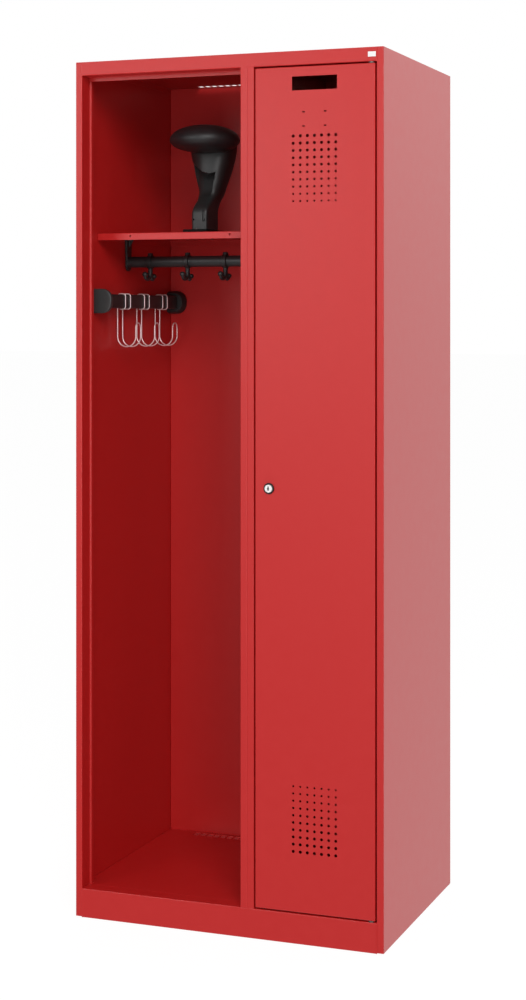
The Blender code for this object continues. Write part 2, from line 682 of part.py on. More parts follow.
def side_rail():
    wall_x = -SIDE_INNER + FIT_GAP
    front, rear = SIDE_RAIL_ENDS
    inner_front, inner_rear = front + CAP_LENGTH, rear - CAP_LENGTH
    half_x, half_z = SIDE_RAIL_SIZE[0] / 2, SIDE_RAIL_SIZE[1] / 2
    bar_low = inner_front - CAP_POCKET + FIT_GAP
    bar_high = inner_rear + CAP_POCKET - FIT_GAP
    box("side_rail_bar", "black_plastic", (SIDE_RAIL_X - half_x, bar_low, SIDE_RAIL_Z - half_z),
        (SIDE_RAIL_X + half_x, bar_high, SIDE_RAIL_Z + half_z), edge=0.003, segments=3)
    for name, outer_y, inner_y in (("side_rail_cap_front", front, inner_front),
                                   ("side_rail_cap_rear", rear, inner_rear)):
        towards = math.copysign(1.0, inner_y - outer_y)
        halfway = [(outer + inner) / 2 for outer, inner in zip(CAP_OUTER, CAP_INNER)]
        levels = [
            (outer_y, CAP_OUTER[0] - 0.0020, CAP_OUTER[1] - 0.0020),
            (outer_y + towards * 0.0015, CAP_OUTER[0], CAP_OUTER[1]),
            (outer_y + towards * 0.0070, CAP_OUTER[0], CAP_OUTER[1]),
            (outer_y + towards * 0.0140, *halfway),
            (inner_y, CAP_INNER[0], CAP_INNER[1]),
        ]
        sections = [[(x, y, z) for x, z in d_outline(width, half)] for y, width, half in levels]
        cap = loft(name, "black_plastic", sections, (wall_x, 0.0, SIDE_RAIL_Z))
        pocket_y = sorted((inner_y - towards * CAP_POCKET, inner_y + towards * 0.01))
        cut_boxes(cap, f"{name}_pocket", [
            ((SIDE_RAIL_X - half_x - FIT_GAP, pocket_y[0], SIDE_RAIL_Z - half_z - FIT_GAP),
             (SIDE_RAIL_X + half_x + FIT_GAP, pocket_y[1], SIDE_RAIL_Z + half_z + FIT_GAP)),
        ])


def wire_hook(name, y):
    """A doubled wire: over the rail at the top, a wide U below, and a closed, arched tip."""
    clear, bend = WIRE_RADIUS + WIRE_CLEARANCE, WIRE_BEND
    wall_x = SIDE_RAIL_X - SIDE_RAIL_SIZE[0] / 2 - clear
    room_x = SIDE_RAIL_X + SIDE_RAIL_SIZE[0] / 2 + clear
    top_z = SIDE_RAIL_Z + SIDE_RAIL_SIZE[1] / 2 + clear
    under_z = SIDE_RAIL_Z - SIDE_RAIL_SIZE[1] / 2 - clear
    outline = [(wall_x + 0.0062, under_z)]
    outline += arc(room_x - bend, under_z + bend, bend, 270, 360, 2)
    outline += arc(room_x - bend, top_z - bend, bend, 0, 90, 2)
    outline += arc(wall_x + bend, top_z - bend, bend, 90, 180, 2)
    centre_x = wall_x + WIRE_HOOK_RADIUS
    centre_z = WIRE_HOOK_BOTTOM_Z + WIRE_RADIUS + WIRE_HOOK_RADIUS
    outline += arc(centre_x, centre_z, WIRE_HOOK_RADIUS, 180, 360, 9)
    tip_x = centre_x + WIRE_HOOK_RADIUS
    half = WIRE_SPACING / 2
    arch_z = WIRE_HOOK_TIP_Z - WIRE_RADIUS - half
    one_side = [(px, -half, pz) for px, pz in outline]
    arch = [(tip_x, -half * math.cos(math.radians(a)), arch_z + half * math.sin(math.radians(a)))
            for a in range(0, 181, 30)]
    path = one_side + arch + [(px, half, pz) for px, _, pz in reversed(one_side)]
    mesh = wire_mesh(name, path, WIRE_RADIUS)
    smooth(add_object(name, mesh, "chrome", (0.0, y, 0.0)))


# ---------------------------------------------------------------- helmet stand
def stand_base():
    half_x, half_y = STAND_BASE[0] / 2, STAND_BASE[1] / 2
    low_z = SHELF_TOP_Z + FIT_GAP
    piece = box("helmet_stand_base", "black_plastic",
                (STAND_X - half_x, STAND_BASE_Y - half_y, low_z),
                (STAND_X + half_x, STAND_BASE_Y + half_y, low_z + STAND_BASE[2]), edge=0.002)
    holes = [((STAND_X, y, low_z), STAND_SCREW_HOLE) for y in STAND_SCREW_Y]
    cut_rods(piece, "stand_base_holes", holes, (0, 0, 1), 0.03)


STEM_SECTIONS = (
    # height, middle in Y, half width, half depth, squareness
    (1.4944, -0.008, 0.0192, 0.0340, 7.0),
    (1.5340, -0.008, 0.0192, 0.0340, 7.0),
    (1.5440, -0.003, 0.0192, 0.0340, 6.0),
    (1.5600, 0.014, 0.0200, 0.0330, 4.5),
    (1.5780, 0.029, 0.0252, 0.0330, 3.5),
    (1.6000, 0.032, 0.0325, 0.0350, 3.0),
    (1.6330, 0.042, 0.0410, 0.0420, 2.6),
    (1.6660, 0.046, 0.0490, 0.0430, 2.4),
    (1.6900, 0.046, 0.0520, 0.0380, 2.2),
    (1.7000, 0.046, 0.0500, 0.0320, 2.1),
)


def ellipsoid_mesh(name, semi, u_segments, v_segments):
    bm = bmesh.new()
    bmesh.ops.create_uvsphere(bm, u_segments=u_segments, v_segments=v_segments, radius=1.0)
    bmesh.ops.scale(bm, vec=semi, verts=bm.verts)
    return mesh_from(bm, name)


def stand_stem():
    sections = [
        [(STAND_X + x, middle + y, z) for x, y in superellipse(half_x, half_y, power, 20)]
        for z, middle, half_x, half_y, power in STEM_SECTIONS
    ]
    piece = loft("helmet_stand_stem", "black_plastic", sections)
    room = PAD_SEMI + Vector((1, 1, 1)) * 2 * FIT_GAP
    boolean(piece, cutter("stem_pad_seat", ellipsoid_mesh("stem_pad_seat", room, 24, 10), PAD_CENTRE))
    cut_rods(piece, "stem_screw_hole", [((STAND_X - 0.0140, -0.042, 1.5170), 0.0020)], (0, 1, 0), 0.02)


def stand_pad():
    mesh = ellipsoid_mesh("helmet_stand_pad", PAD_SEMI, 24, 10)
    smooth(add_object("helmet_stand_pad", mesh, "black_rubber", PAD_CENTRE))


def round_head_screw(name, finish, place, axis, head_radius, head_height, shank_radius, shank_length):
    """Head on the positive side of place, shank running the other way."""
    profile = [
        (0.0, head_height),
        (head_radius * 0.62, head_height * 0.86),
        (head_radius, head_height * 0.35),
        (head_radius, 0.0),
        (shank_radius, 0.0),
        (shank_radius, -shank_length),
        (0.0, -shank_length),
    ]
    screw = turned(name, finish, profile, place, axis, steps=16)
    smooth(screw)
    return screw


def helmet_stand(shelf_piece):
    stand_base()
    stand_stem()
    stand_pad()
    top = SHELF_TOP_Z + FIT_GAP + STAND_BASE[2]
    for label, y in zip(("front", "rear"), STAND_SCREW_Y):
        round_head_screw(f"helmet_stand_screw_{label}", "zinc_steel", (STAND_X, y, top + FIT_GAP),
                         (0, 0, 1), 0.0045, 0.0028, 0.0024, STAND_BASE[2] + 0.010)
    holes = [((STAND_X, y, SHELF_TOP_Z), STAND_SCREW_HOLE) for y in STAND_SCREW_Y]
    cut_rods(shelf_piece, "shelf_stand_holes", holes, (0, 0, 1), 0.01)


# ---------------------------------------------------------------- door
DOOR_LOW = Vector((SEAM_X + STILE + DOOR_GAP_SIDE, FRONT, PLINTH_HEIGHT + DOOR_GAP_END))
DOOR_HIGH = Vector((RIGHT - STILE - DOOR_GAP_SIDE, FRONT + DOOR_DEPTH, HEADER_Z - DOOR_GAP_END))
DOOR_MIDDLE_X = (RIGHT_BAY[0] + RIGHT_BAY[1]) / 2


def vent_grid(first_row_z, grows):
    """Hole centres and radii of one grid; its holes get larger towards the end named by grows."""
    holes = []
    for row in range(VENT_ROWS):
        share = row / (VENT_ROWS - 1)
        radius = VENT_SMALL + (VENT_LARGE - VENT_SMALL) * (share if grows == "up" else 1 - share)
        for column in range(VENT_COLUMNS):
            x = DOOR_MIDDLE_X + (column - (VENT_COLUMNS - 1) / 2) * VENT_COLUMN_PITCH
            holes.append(((x, FRONT, first_row_z + row * VENT_ROW_PITCH), radius))
    return holes


def door_panel(axis_empty):
    piece = tray("door_panel", "red_powder_coat", DOOR_LOW, DOOR_HIGH, (0, 1, 0),
                 radius=DOOR_EDGE_RADIUS, lip=DOOR_LIP)
    lower_top = VENT_TOP_ROW_Z - (VENT_ROWS - 1) * VENT_ROW_PITCH
    holes = vent_grid(lower_top, "up") + vent_grid(VENT_BOTTOM_ROW_Z, "down")
    cut_rods(piece, "door_vents", holes, (0, 1, 0), 0.01, sides=VENT_SIDES)
    half_w, half_h = WINDOW_SIZE[0] / 2, WINDOW_SIZE[1] / 2
    openings = [((DOOR_MIDDLE_X - half_w, FRONT - 0.005, WINDOW_Z - half_h),
                 (DOOR_MIDDLE_X + half_w, FRONT + 0.005, WINDOW_Z + half_h))]
    for sign in (-1, 1):
        for z in CARD_TAB_Z:
            x = DOOR_MIDDLE_X + sign * CARD_TAB_X
            openings.append(((x - CARD_TAB_SIZE[0] / 2, FRONT - 0.005, z - CARD_TAB_SIZE[1] / 2),
                             (x + CARD_TAB_SIZE[0] / 2, FRONT + 0.005, z + CARD_TAB_SIZE[1] / 2)))
    cut_boxes(piece, "door_openings", openings)
    cut_rods(piece, "door_lock_hole", [((LOCK_X, FRONT, LOCK_Z), BARREL_RADIUS + FIT_GAP)],
             (0, 1, 0), 0.01, sides=20)
    bush_holes = [((HINGE_X, HINGE_Y, z), BUSH_RADIUS + FIT_GAP) for z in (DOOR_LOW.z, DOOR_HIGH.z)]
    cut_rods(piece, "door_bush_holes", bush_holes, (0, 0, 1), 0.01, sides=16)
    hang(piece, axis_empty)


def hang(piece, empty):
    """Parents a placed piece to the empty that stands on its joint's axis."""
    bpy.context.view_layer.update()
    piece.parent = empty
    piece.matrix_parent_inverse = empty.matrix_world.inverted()


def door_stiffener(axis_empty):
    """A hat-section strip welded inside the door between the two vent grids."""
    inner = FRONT + SHEET + FIT_GAP
    half, edge, crown = STIFFENER_HALF, STIFFENER_HALF + STIFFENER_WING, inner + STIFFENER_DEPTH
    outline = ((-edge, inner), (-half, inner), (-half, crown), (half, crown), (half, inner), (edge, inner))
    path = [(DOOR_MIDDLE_X + x, y) for x, y in outline]
    piece = folded_sheet("door_stiffener", "red_powder_coat", path, "Z", *STIFFENER_ENDS, metal="left")
    hang(piece, axis_empty)


def hinges(axis_empty):
    """Pins fixed in the frame, each with a collar in the gap, turning in bushes in the door."""
    tip = 0.0006
    collar_top, inside = DOOR_GAP_END - FIT_GAP, SHEET + FIT_GAP
    for label, frame_z, door_z, sign in (("bottom", PLINTH_HEIGHT, DOOR_LOW.z, 1),
                                         ("top", HEADER_Z, DOOR_HIGH.z, -1)):
        profile = [
            (0.0, PIN_REACH), (PIN_RADIUS - tip, PIN_REACH), (PIN_RADIUS, PIN_REACH - tip),
            (PIN_RADIUS, collar_top), (COLLAR_RADIUS, collar_top), (COLLAR_RADIUS, FIT_GAP),
            (PIN_RADIUS, FIT_GAP), (PIN_RADIUS, -PIN_ROOT), (0.0, -PIN_ROOT),
        ]
        smooth(turned(f"hinge_pin_{label}", "zinc_steel", profile, (HINGE_X, HINGE_Y, frame_z),
                      (0, 0, sign), steps=20))
        profile = closed_ring([
            (BUSH_FLANGE_RADIUS, inside + BUSH_FLANGE), (BUSH_FLANGE_RADIUS, inside),
            (BUSH_RADIUS, inside), (BUSH_RADIUS, 0.0), (PIN_BORE, 0.0), (PIN_BORE, BUSH_LENGTH),
            (BUSH_RADIUS, BUSH_LENGTH), (BUSH_RADIUS, inside + BUSH_FLANGE),
        ])
        bush = turned(f"hinge_bush_{label}", "black_plastic", profile, (HINGE_X, HINGE_Y, door_z),
                      (0, 0, sign), steps=20)
        smooth(bush)
        hang(bush, axis_empty)


def buffers(axis_empty):
    """Rubber buttons on the door's inner lip: one meets the header's stop, one the upright's."""
    places = (
        ("top", DOOR_LOW.x + BUFFER_TOP_INSET[0], DOOR_HIGH.z - BUFFER_TOP_INSET[1], HEADER_STOP_Y),
        ("side", DOOR_LOW.x + BUFFER_SIDE_INSET, BUFFER_SIDE_Z, FRONT + JAMB_DEPTH),
    )
    foot, shoulder, crown = BUFFER_RADII
    for label, x, z, stop_y in places:
        height = stop_y - DOOR_HIGH.y - 2 * FIT_GAP
        profile = [(0.0, height), (crown, height), (shoulder, height * 0.7), (foot, 0.0), (0.0, 0.0)]
        piece = turned(f"door_buffer_{label}", "black_rubber", profile, (x, DOOR_HIGH.y + FIT_GAP, z),
                       (0, 1, 0), steps=12)
        hang(piece, axis_empty)


# ---------------------------------------------------------------- cam lock
def lock(axis_empty):
    """A housing held by a nut, a turning plug with a key slot, and a cranked cam held by a screw."""
    bore = PLUG_RADIUS + RUN_GAP
    recess = PLUG_FACE_RADIUS + RUN_GAP
    profile = closed_ring([
        (BARREL_RADIUS, -LOCK_LENGTH), (bore, -LOCK_LENGTH), (bore, PLUG_SEAT), (recess, PLUG_SEAT),
        (recess, LOCK_PROUD), (ROSETTE_RADIUS - 0.0008, LOCK_PROUD),
        (ROSETTE_RADIUS, LOCK_PROUD - 0.0012), (ROSETTE_RADIUS, FIT_GAP), (BARREL_RADIUS, FIT_GAP),
    ])
    place = (LOCK_X, FRONT, LOCK_Z)
    housing = turned("lock_housing", "black_powder_coat", profile, place, (0, -1, 0), steps=24)
    smooth(housing)
    hang(housing, axis_empty)
    hang(lock_nut(), axis_empty)

    lock_axis = bpy.data.objects.new("lock_axis", None)
    lock_axis.location = place
    PARTS.objects.link(lock_axis)
    hang(lock_axis, axis_empty)
    hang(lock_plug(place), lock_axis)
    hub_y = FRONT + LOCK_LENGTH + CAM_CLEARANCE + FIT_GAP
    hang(lock_cam(hub_y), lock_axis)
    hang(cam_screw(hub_y), lock_axis)


def lock_plug(place):
    """A round face with a key slot, a barrel, and a journal that carries the cam."""
    shoulder = -LOCK_LENGTH - CAM_CLEARANCE
    profile = [
        (0.0, PLUG_PROUD), (PLUG_FACE_RADIUS - 0.0012, PLUG_PROUD),
        (PLUG_FACE_RADIUS, PLUG_PROUD - 0.0010), (PLUG_FACE_RADIUS, PLUG_SEAT + 0.0001),
        (PLUG_RADIUS, PLUG_SEAT + 0.0001), (PLUG_RADIUS, shoulder), (CAM_SQUARE, shoulder),
        (CAM_SQUARE, shoulder - 0.0030), (0.0, shoulder - 0.0030),
    ]
    plug = turned("lock_plug", "chrome", profile, place, (0, -1, 0), steps=24)
    smooth(plug)
    half_w, half_h = KEY_SLOT[0] / 2, KEY_SLOT[1] / 2
    slot_floor = FRONT - PLUG_PROUD + KEY_SLOT_DEPTH
    cut_boxes(plug, "key_slot", [((LOCK_X - half_w, FRONT - 0.010, LOCK_Z - half_h),
                                  (LOCK_X + half_w, slot_floor, LOCK_Z + half_h))])
    cut_rods(plug, "cam_screw_bore", [((LOCK_X, FRONT + LOCK_LENGTH, LOCK_Z), CAM_SCREW_SHANK + FIT_GAP)],
             (0, 1, 0), 0.024)
    return plug


def lock_cam(hub_y):
    """The cam as it stands unlocked, with its cranked arm pointing up."""
    depths = (hub_y, hub_y, hub_y + CAM_CRANK, hub_y + CAM_CRANK)
    bm = bmesh.new()
    low = [bm.verts.new((LOCK_X - CAM_HALF_WIDTH, y, LOCK_Z - z)) for z, y in zip(CAM_REACHES, depths)]
    high = [bm.verts.new((LOCK_X + CAM_HALF_WIDTH, y, LOCK_Z - z)) for z, y in zip(CAM_REACHES, depths)]
    for i in range(len(depths) - 1):
        bm.faces.new((low[i], low[i + 1], high[i + 1], high[i]))
    mesh = bpy.data.meshes.new("lock_cam")
    bm.to_mesh(mesh)
    bm.free()
    cam = add_object("lock_cam", mesh, "zinc_steel")
    thicken(cam, CAM_THICKNESS, 1.0 if mesh.polygons[0].normal.y > 0 else -1.0)
    cut_rods(cam, "cam_hub_hole", [((LOCK_X, hub_y, LOCK_Z), CAM_SQUARE + FIT_GAP)], (0, 1, 0), 0.012,
             sides=16)
    return cam


def cam_screw(hub_y):
    screw_y = hub_y + CAM_JOURNAL + FIT_GAP
    return round_head_screw("lock_cam_screw", "zinc_steel", (LOCK_X, screw_y, LOCK_Z), (0, 1, 0),
                            0.0050, 0.0024, CAM_SCREW_SHANK, 0.009)


def lock_nut():
    """The hexagonal nut that clamps the housing from inside the door."""
    middle = (LOCK_X, FRONT + SHEET + FIT_GAP + NUT_THICKNESS / 2, LOCK_Z)
    bm = bmesh.new()
    bmesh.ops.create_cone(bm, cap_ends=True, segments=6, radius1=NUT_RADIUS, radius2=NUT_RADIUS,
                          depth=NUT_THICKNESS, matrix=Matrix.Rotation(math.pi / 2, 4, "X"))
    nut = add_object("lock_nut", mesh_from(bm, "lock_nut"), "zinc_steel", middle)
    cut_rods(nut, "lock_nut_bore", [(middle, BARREL_RADIUS + FIT_GAP)], (0, 1, 0), 0.01, sides=28)
    return nut


def badge():
    """A plain blank plate on the header."""
    box("blank_badge", "pale_plate", BADGE_LOW, BADGE_HIGH)


# ---------------------------------------------------------------- assembly
def build():
    side_panel("left_side_panel", -1)
    side_panel("right_side_panel", 1)
    middle_wall("middle_wall_left", -1)
    middle_wall("middle_wall_right", 1)
    header()
    plinth_front()
    plinth_rear()
    back_panel()
    top_panel()
    floor_panel("floor_left", LEFT_BAY, 15)
    floor_panel("floor_right", RIGHT_BAY, 10)
    left_shelf = shelf("hat_shelf_left", LEFT_BAY)
    shelf("hat_shelf_right", RIGHT_BAY)
    badge()

    clothes_rail("clothes_rail_left", LEFT_BAY)
    clothes_rail("clothes_rail_right", RIGHT_BAY)
    for i in range(4):
        coat_hook(f"coat_hook_left_{i + 1}", sum(LEFT_BAY) / 2 + (i - 1.5) * HOOK_PITCH)
    for i in range(2):
        coat_hook(f"coat_hook_right_{i + 1}", sum(RIGHT_BAY) / 2 + (i - 0.5) * HOOK_PITCH)
    side_rail()
    for i, y in enumerate(WIRE_HOOK_Y):
        wire_hook(f"wire_hook_{i + 1}", y)
    helmet_stand(left_shelf)

    door_axis = bpy.data.objects.new("door_axis", None)
    door_axis.location = (HINGE_X, HINGE_Y, DOOR_LOW.z)
    PARTS.objects.link(door_axis)
    door_panel(door_axis)
    door_stiffener(door_axis)
    hinges(door_axis)
    buffers(door_axis)
    lock(door_axis)


build()
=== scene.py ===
"""Looks of the two-bay equipment locker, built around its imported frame.

Units are metres in the frame's own coordinates: +X to the right of someone facing the locker, +Y towards
its back, +Z up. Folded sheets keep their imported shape; moulded, turned, bent and perforated pieces are
built again here with finer shapes.
"""
import json
import math

import bmesh
import bpy
from mathutils import Matrix, Vector


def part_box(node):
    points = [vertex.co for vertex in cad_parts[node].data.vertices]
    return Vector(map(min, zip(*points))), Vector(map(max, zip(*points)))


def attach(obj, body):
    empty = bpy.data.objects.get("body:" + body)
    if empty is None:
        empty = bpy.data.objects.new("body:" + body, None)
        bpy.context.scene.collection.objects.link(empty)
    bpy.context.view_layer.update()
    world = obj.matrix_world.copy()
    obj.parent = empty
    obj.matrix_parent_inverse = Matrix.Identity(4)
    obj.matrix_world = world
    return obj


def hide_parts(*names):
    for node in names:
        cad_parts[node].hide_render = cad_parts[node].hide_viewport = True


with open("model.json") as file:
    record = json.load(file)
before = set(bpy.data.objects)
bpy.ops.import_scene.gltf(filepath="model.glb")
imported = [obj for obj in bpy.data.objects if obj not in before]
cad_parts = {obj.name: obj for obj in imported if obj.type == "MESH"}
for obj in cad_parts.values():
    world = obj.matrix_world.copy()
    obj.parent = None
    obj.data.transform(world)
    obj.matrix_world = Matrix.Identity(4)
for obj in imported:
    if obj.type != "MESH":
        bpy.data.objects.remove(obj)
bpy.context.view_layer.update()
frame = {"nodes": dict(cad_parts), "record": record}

X, Y, Z = Vector((1, 0, 0)), Vector((0, 1, 0)), Vector((0, 0, 1))
SHEET = 0.001
STILE = 0.015
CREASE, SOFT = 38, 180          # degrees between faces above which an edge is sharp
NEGLIGIBLE = 1e-6


# -------- finishes
class Finish:
    """A Principled material with short ways to add nodes that vary it."""

    def __init__(self, name, colour, roughness, metallic=0.0):
        self.material = bpy.data.materials.new(name)
        self.material.use_nodes = True
        self.nodes = self.material.node_tree.nodes
        self.surface = self.nodes["Principled BSDF"]
        self.surface.inputs["Base Color"].default_value = (*colour, 1.0)
        self.surface.inputs["Roughness"].default_value = roughness
        self.surface.inputs["Metallic"].default_value = metallic
        self.place = self.nodes.new("ShaderNodeTexCoord").outputs["Object"]

    def link(self, source, target):
        self.material.node_tree.links.new(source, target)

    def add(self, kind, **inputs):
        """A new node with some of its inputs set; an underscore in a name stands for a space."""
        node = self.nodes.new(kind)
        for name, value in inputs.items():
            node.inputs[name.replace("_", " ")].default_value = value
        return node

    def stretched(self, scale):
        """The object's coordinates, stretched along its axes."""
        mapping = self.add("ShaderNodeMapping", Scale=scale)
        self.link(self.place, mapping.inputs["Vector"])
        return mapping.outputs["Vector"]

    def noise(self, scale, detail=2.0, place=None):
        texture = self.add("ShaderNodeTexNoise", Scale=scale, Detail=detail)
        self.link(place or self.place, texture.inputs["Vector"])
        return texture.outputs["Fac"]

    def cells(self, scale, feature="F1"):
        texture = self.add("ShaderNodeTexVoronoi", Scale=scale)
        texture.feature = feature
        self.link(self.place, texture.inputs["Vector"])
        return texture

    def spread(self, value, low, high, start=0.3, end=0.7):
        """Maps a noise value to a range of settings."""
        mapping = self.add("ShaderNodeMapRange", From_Min=start, From_Max=end, To_Min=low, To_Max=high)
        self.link(value, mapping.inputs["Value"])
        return mapping.outputs["Result"]

    def blend_colours(self, share, first, second):
        mix = self.nodes.new("ShaderNodeMix")
        mix.data_type = "RGBA"
        self.link(share, mix.inputs["Factor"])
        for socket, colour in ((mix.inputs[6], first), (mix.inputs[7], second)):
            if isinstance(colour, tuple):
                socket.default_value = (*colour, 1.0)
            else:
                self.link(colour, socket)
        return mix.outputs[2]

    def arithmetic(self, operation, first, second):
        node = self.nodes.new("ShaderNodeMath")
        node.operation = operation
        for socket, value in zip(node.inputs, (first, second)):
            if isinstance(value, float):
                socket.default_value = value
            else:
                self.link(value, socket)
        return node.outputs["Value"]

    def relief(self, height, depth, strength=1.0, below=None):
        bump = self.add("ShaderNodeBump", Distance=depth, Strength=strength)
        self.link(height, bump.inputs["Height"])
        if below:
            self.link(below, bump.inputs["Normal"])
        return bump.outputs["Normal"]

    def edges(self, radius):
        """Near 1 along sharp edges and 0 away from them."""
        rounded = self.add("ShaderNodeBevel", Radius=radius)
        rounded.samples = 4
        geometry = self.nodes.new("ShaderNodeNewGeometry")
        dot = self.nodes.new("ShaderNodeVectorMath")
        dot.operation = "DOT_PRODUCT"
        self.link(rounded.outputs["Normal"], dot.inputs[0])
        self.link(geometry.outputs["Normal"], dot.inputs[1])
        return self.spread(dot.outputs["Value"], 1.0, 0.0, start=0.80, end=0.99)

    def set(self, name, value):
        self.link(value, self.surface.inputs[name])


def powder_coat(name, colour, lighter, roughness):
    """Baked powder paint: a fine orange peel, a slightly uneven gloss, and a painted highlight along edges.
    """
    coat = Finish(name, colour, roughness)
    coat.surface.inputs["IOR"].default_value = 1.5
    uneven = coat.noise(40.0, detail=3.0)
    # edge is the mask of a painted highlight: the colour turns lighter along sharp edges
    edge = coat.edges(0.0012)
    tone = coat.blend_colours(coat.spread(uneven, 0.0, 0.12), colour, lighter)
    coat.set("Base Color", coat.blend_colours(coat.arithmetic("MULTIPLY", edge, 0.35), tone, lighter))
    coat.set("Roughness", coat.spread(uneven, roughness - 0.012, roughness + 0.012))
    peel = coat.relief(coat.noise(430.0, detail=1.0), 0.00005, 0.55)
    coat.set("Normal", coat.relief(coat.noise(1900.0, detail=2.0), 0.00001, 0.5, below=peel))
    return coat.material


def moulded_plastic(name, colour, lighter, roughness, grain=1100.0):
    """Black plastic with a spark-eroded grain, a little polish where it is handled, and a painted highlight
    along its edges.
    """
    plastic = Finish(name, colour, roughness)
    worn = plastic.noise(26.0, detail=4.0)
    edge = plastic.edges(0.0009)
    tone = plastic.blend_colours(plastic.spread(worn, 0.0, 0.6), colour, lighter)
    # painted highlight: the colour turns lighter along sharp edges
    share = plastic.arithmetic("MULTIPLY", edge, 0.4)
    plastic.set("Base Color", plastic.blend_colours(share, tone, lighter))
    plastic.set("Roughness", plastic.spread(worn, roughness + 0.05, roughness - 0.05))
    coarse = plastic.relief(plastic.cells(grain, "SMOOTH_F1").outputs["Distance"], 0.00006, 0.35)
    plastic.set("Normal", plastic.relief(plastic.noise(grain * 2.7, detail=2.0), 0.00002, 0.4, below=coarse))
    return plastic.material


def soft_rubber(name, colour, lighter, roughness):
    """Foamed rubber skin: matt, faintly stippled, with a soft bloom."""
    rubber = Finish(name, colour, roughness)
    bloom = rubber.noise(34.0, detail=5.0)
    rubber.set("Base Color", rubber.blend_colours(rubber.spread(bloom, 0.0, 0.7), colour, lighter))
    rubber.set("Roughness", rubber.spread(bloom, roughness - 0.04, roughness + 0.06))
    rubber.set("Normal", rubber.relief(rubber.cells(760.0).outputs["Distance"], 0.00005, 0.3))
    return rubber.material


def chrome_plate(name, colour, roughness):
    """Bright plate with faint smudges and fine drawing marks."""
    return smudged_metal(name, colour, roughness, 0.6, (90.0, 5.0), (-0.03, 0.05),
                         (2600.0, 0.08, 0.000003))


def satin_metal(name, colour, roughness, metallic):
    """Fine-ground metal with faint turning marks and a few smudges."""
    return smudged_metal(name, colour, roughness, metallic, (140.0, 4.0), (-0.05, 0.08),
                         (1500.0, 0.15, 0.00001))


def smudged_metal(name, colour, roughness, metallic, smudges, change, marks):
    """Metal with smudges (scale, detail) that change its roughness, and marks (scale, stretch, depth)."""
    metal = Finish(name, colour, roughness, metallic=metallic)
    uneven = metal.noise(smudges[0], detail=smudges[1])
    metal.set("Roughness", metal.spread(uneven, roughness + change[0], roughness + change[1]))
    scale, stretch, depth = marks
    lines = metal.noise(scale, detail=1.0, place=metal.stretched((1.0, 1.0, stretch)))
    metal.set("Normal", metal.relief(lines, depth, 0.3))
    return metal.material


def zinc_plate(name, colour, darker, roughness):
    """Galvanised steel: dull crystal patches and brushed lines."""
    zinc = Finish(name, colour, roughness, metallic=1.0)
    patches = zinc.cells(420.0).outputs["Color"]
    share = zinc.nodes.new("ShaderNodeRGBToBW")
    zinc.link(patches, share.inputs["Color"])
    zinc.set("Base Color", zinc.blend_colours(zinc.spread(share.outputs["Val"], 0.0, 0.8), colour, darker))
    zinc.set("Roughness", zinc.spread(zinc.noise(160.0, detail=4.0), roughness - 0.07, roughness + 0.12))
    lines = zinc.noise(900.0, detail=2.0, place=zinc.stretched((1.0, 0.06, 1.0)))
    zinc.set("Normal", zinc.relief(lines, 0.00002, 0.4))
    return zinc.material


FINISHES = {
    name: make(name, *looks) for name, make, *looks in (
        ("red_powder_coat", powder_coat, (0.50, 0.0105, 0.0100), (0.58, 0.024, 0.023), 0.42),
        ("black_powder_coat", powder_coat, (0.016, 0.018, 0.019), (0.030, 0.032, 0.034), 0.45),
        ("black_plastic", moulded_plastic, (0.011, 0.012, 0.012), (0.022, 0.023, 0.024), 0.45),
        ("chrome", chrome_plate, (0.86, 0.70, 0.69), 0.30),
        # zinc grey, darkened further as painted shade for the hinge collars that sit in the door's shaded
        # gap
        ("zinc_steel", zinc_plate, (0.20, 0.19, 0.18), (0.13, 0.125, 0.12), 0.50),
        ("black_rubber", soft_rubber, (0.010, 0.010, 0.011), (0.019, 0.019, 0.020), 0.44),
        ("pale_plate", powder_coat, (0.80, 0.78, 0.77), (0.88, 0.87, 0.86), 0.36),
    )
}

SLOT_OF = {part["node"]: part["material_slot"] for part in frame["record"]["subparts"]}
BODY_OF = {
    node: body for body, nodes in frame["record"]["behaviour"]["bodies"].items() for node in nodes
}


# -------- pieces
def middle(node):
    low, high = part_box(node)
    return (low + high) / 2


def piece_from(bm, name, node, sharp=CREASE):
    """A finished piece that stands for a CAD node, with its body and finish."""
    return mesh_piece(mesh_of(bm, name), name, node, sharp)


def mesh_piece(mesh, name, node, sharp=CREASE):
    piece = visible_piece(mesh, name, node, sharp)
    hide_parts(node)
    return piece


def visible_piece(mesh, name, node, sharp=CREASE):
    """A piece without degenerate faces, with the finish and the body of a CAD node."""
    clean = bmesh.new()
    clean.from_mesh(mesh)
    bmesh.ops.dissolve_degenerate(clean, dist=NEGLIGIBLE, edges=clean.edges)
    clean.to_mesh(mesh)
    clean.free()
    mesh.name = name
    mesh.shade_smooth()
    mesh.set_sharp_from_angle(angle=math.radians(sharp))
    mesh.materials.clear()
    mesh.materials.append(FINISHES[SLOT_OF[node]])
    piece = bpy.data.objects.new(name, mesh)
    bpy.context.scene.collection.objects.link(piece)
    piece.modifiers.new("normals", "WEIGHTED_NORMAL").keep_sharp = True
    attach(piece, BODY_OF[node])
    return piece


def loose_object(bm, name):
    """A working object with the given shape; it is removed before the end."""
    helper = bpy.data.objects.new(name, mesh_of(bm, name))
    bpy.context.scene.collection.objects.link(helper)
    return helper


def evaluated_mesh(helper, *tools):
    """The mesh of a working object with its modifiers applied; it and its cutting tools are removed."""
    bpy.context.view_layer.update()
    shape = helper.evaluated_get(bpy.context.evaluated_depsgraph_get())
    mesh = bpy.data.meshes.new_from_object(shape)
    for spent in (helper, *tools):
        bpy.data.objects.remove(spent, do_unlink=True)
    return mesh


def mesh_of(bm, name):
    bmesh.ops.recalc_face_normals(bm, faces=bm.faces)
    mesh = bpy.data.meshes.new(name)
    bm.to_mesh(mesh)
    bm.free()
    return mesh


def add_bevel(helper, width, segments, angle=30):
    bevel = helper.modifiers.new("bevel", "BEVEL")
    bevel.width = width
    bevel.segments = segments
    bevel.limit_method = "ANGLE"
    bevel.angle_limit = math.radians(angle)
    bevel.miter_outer = "MITER_ARC"


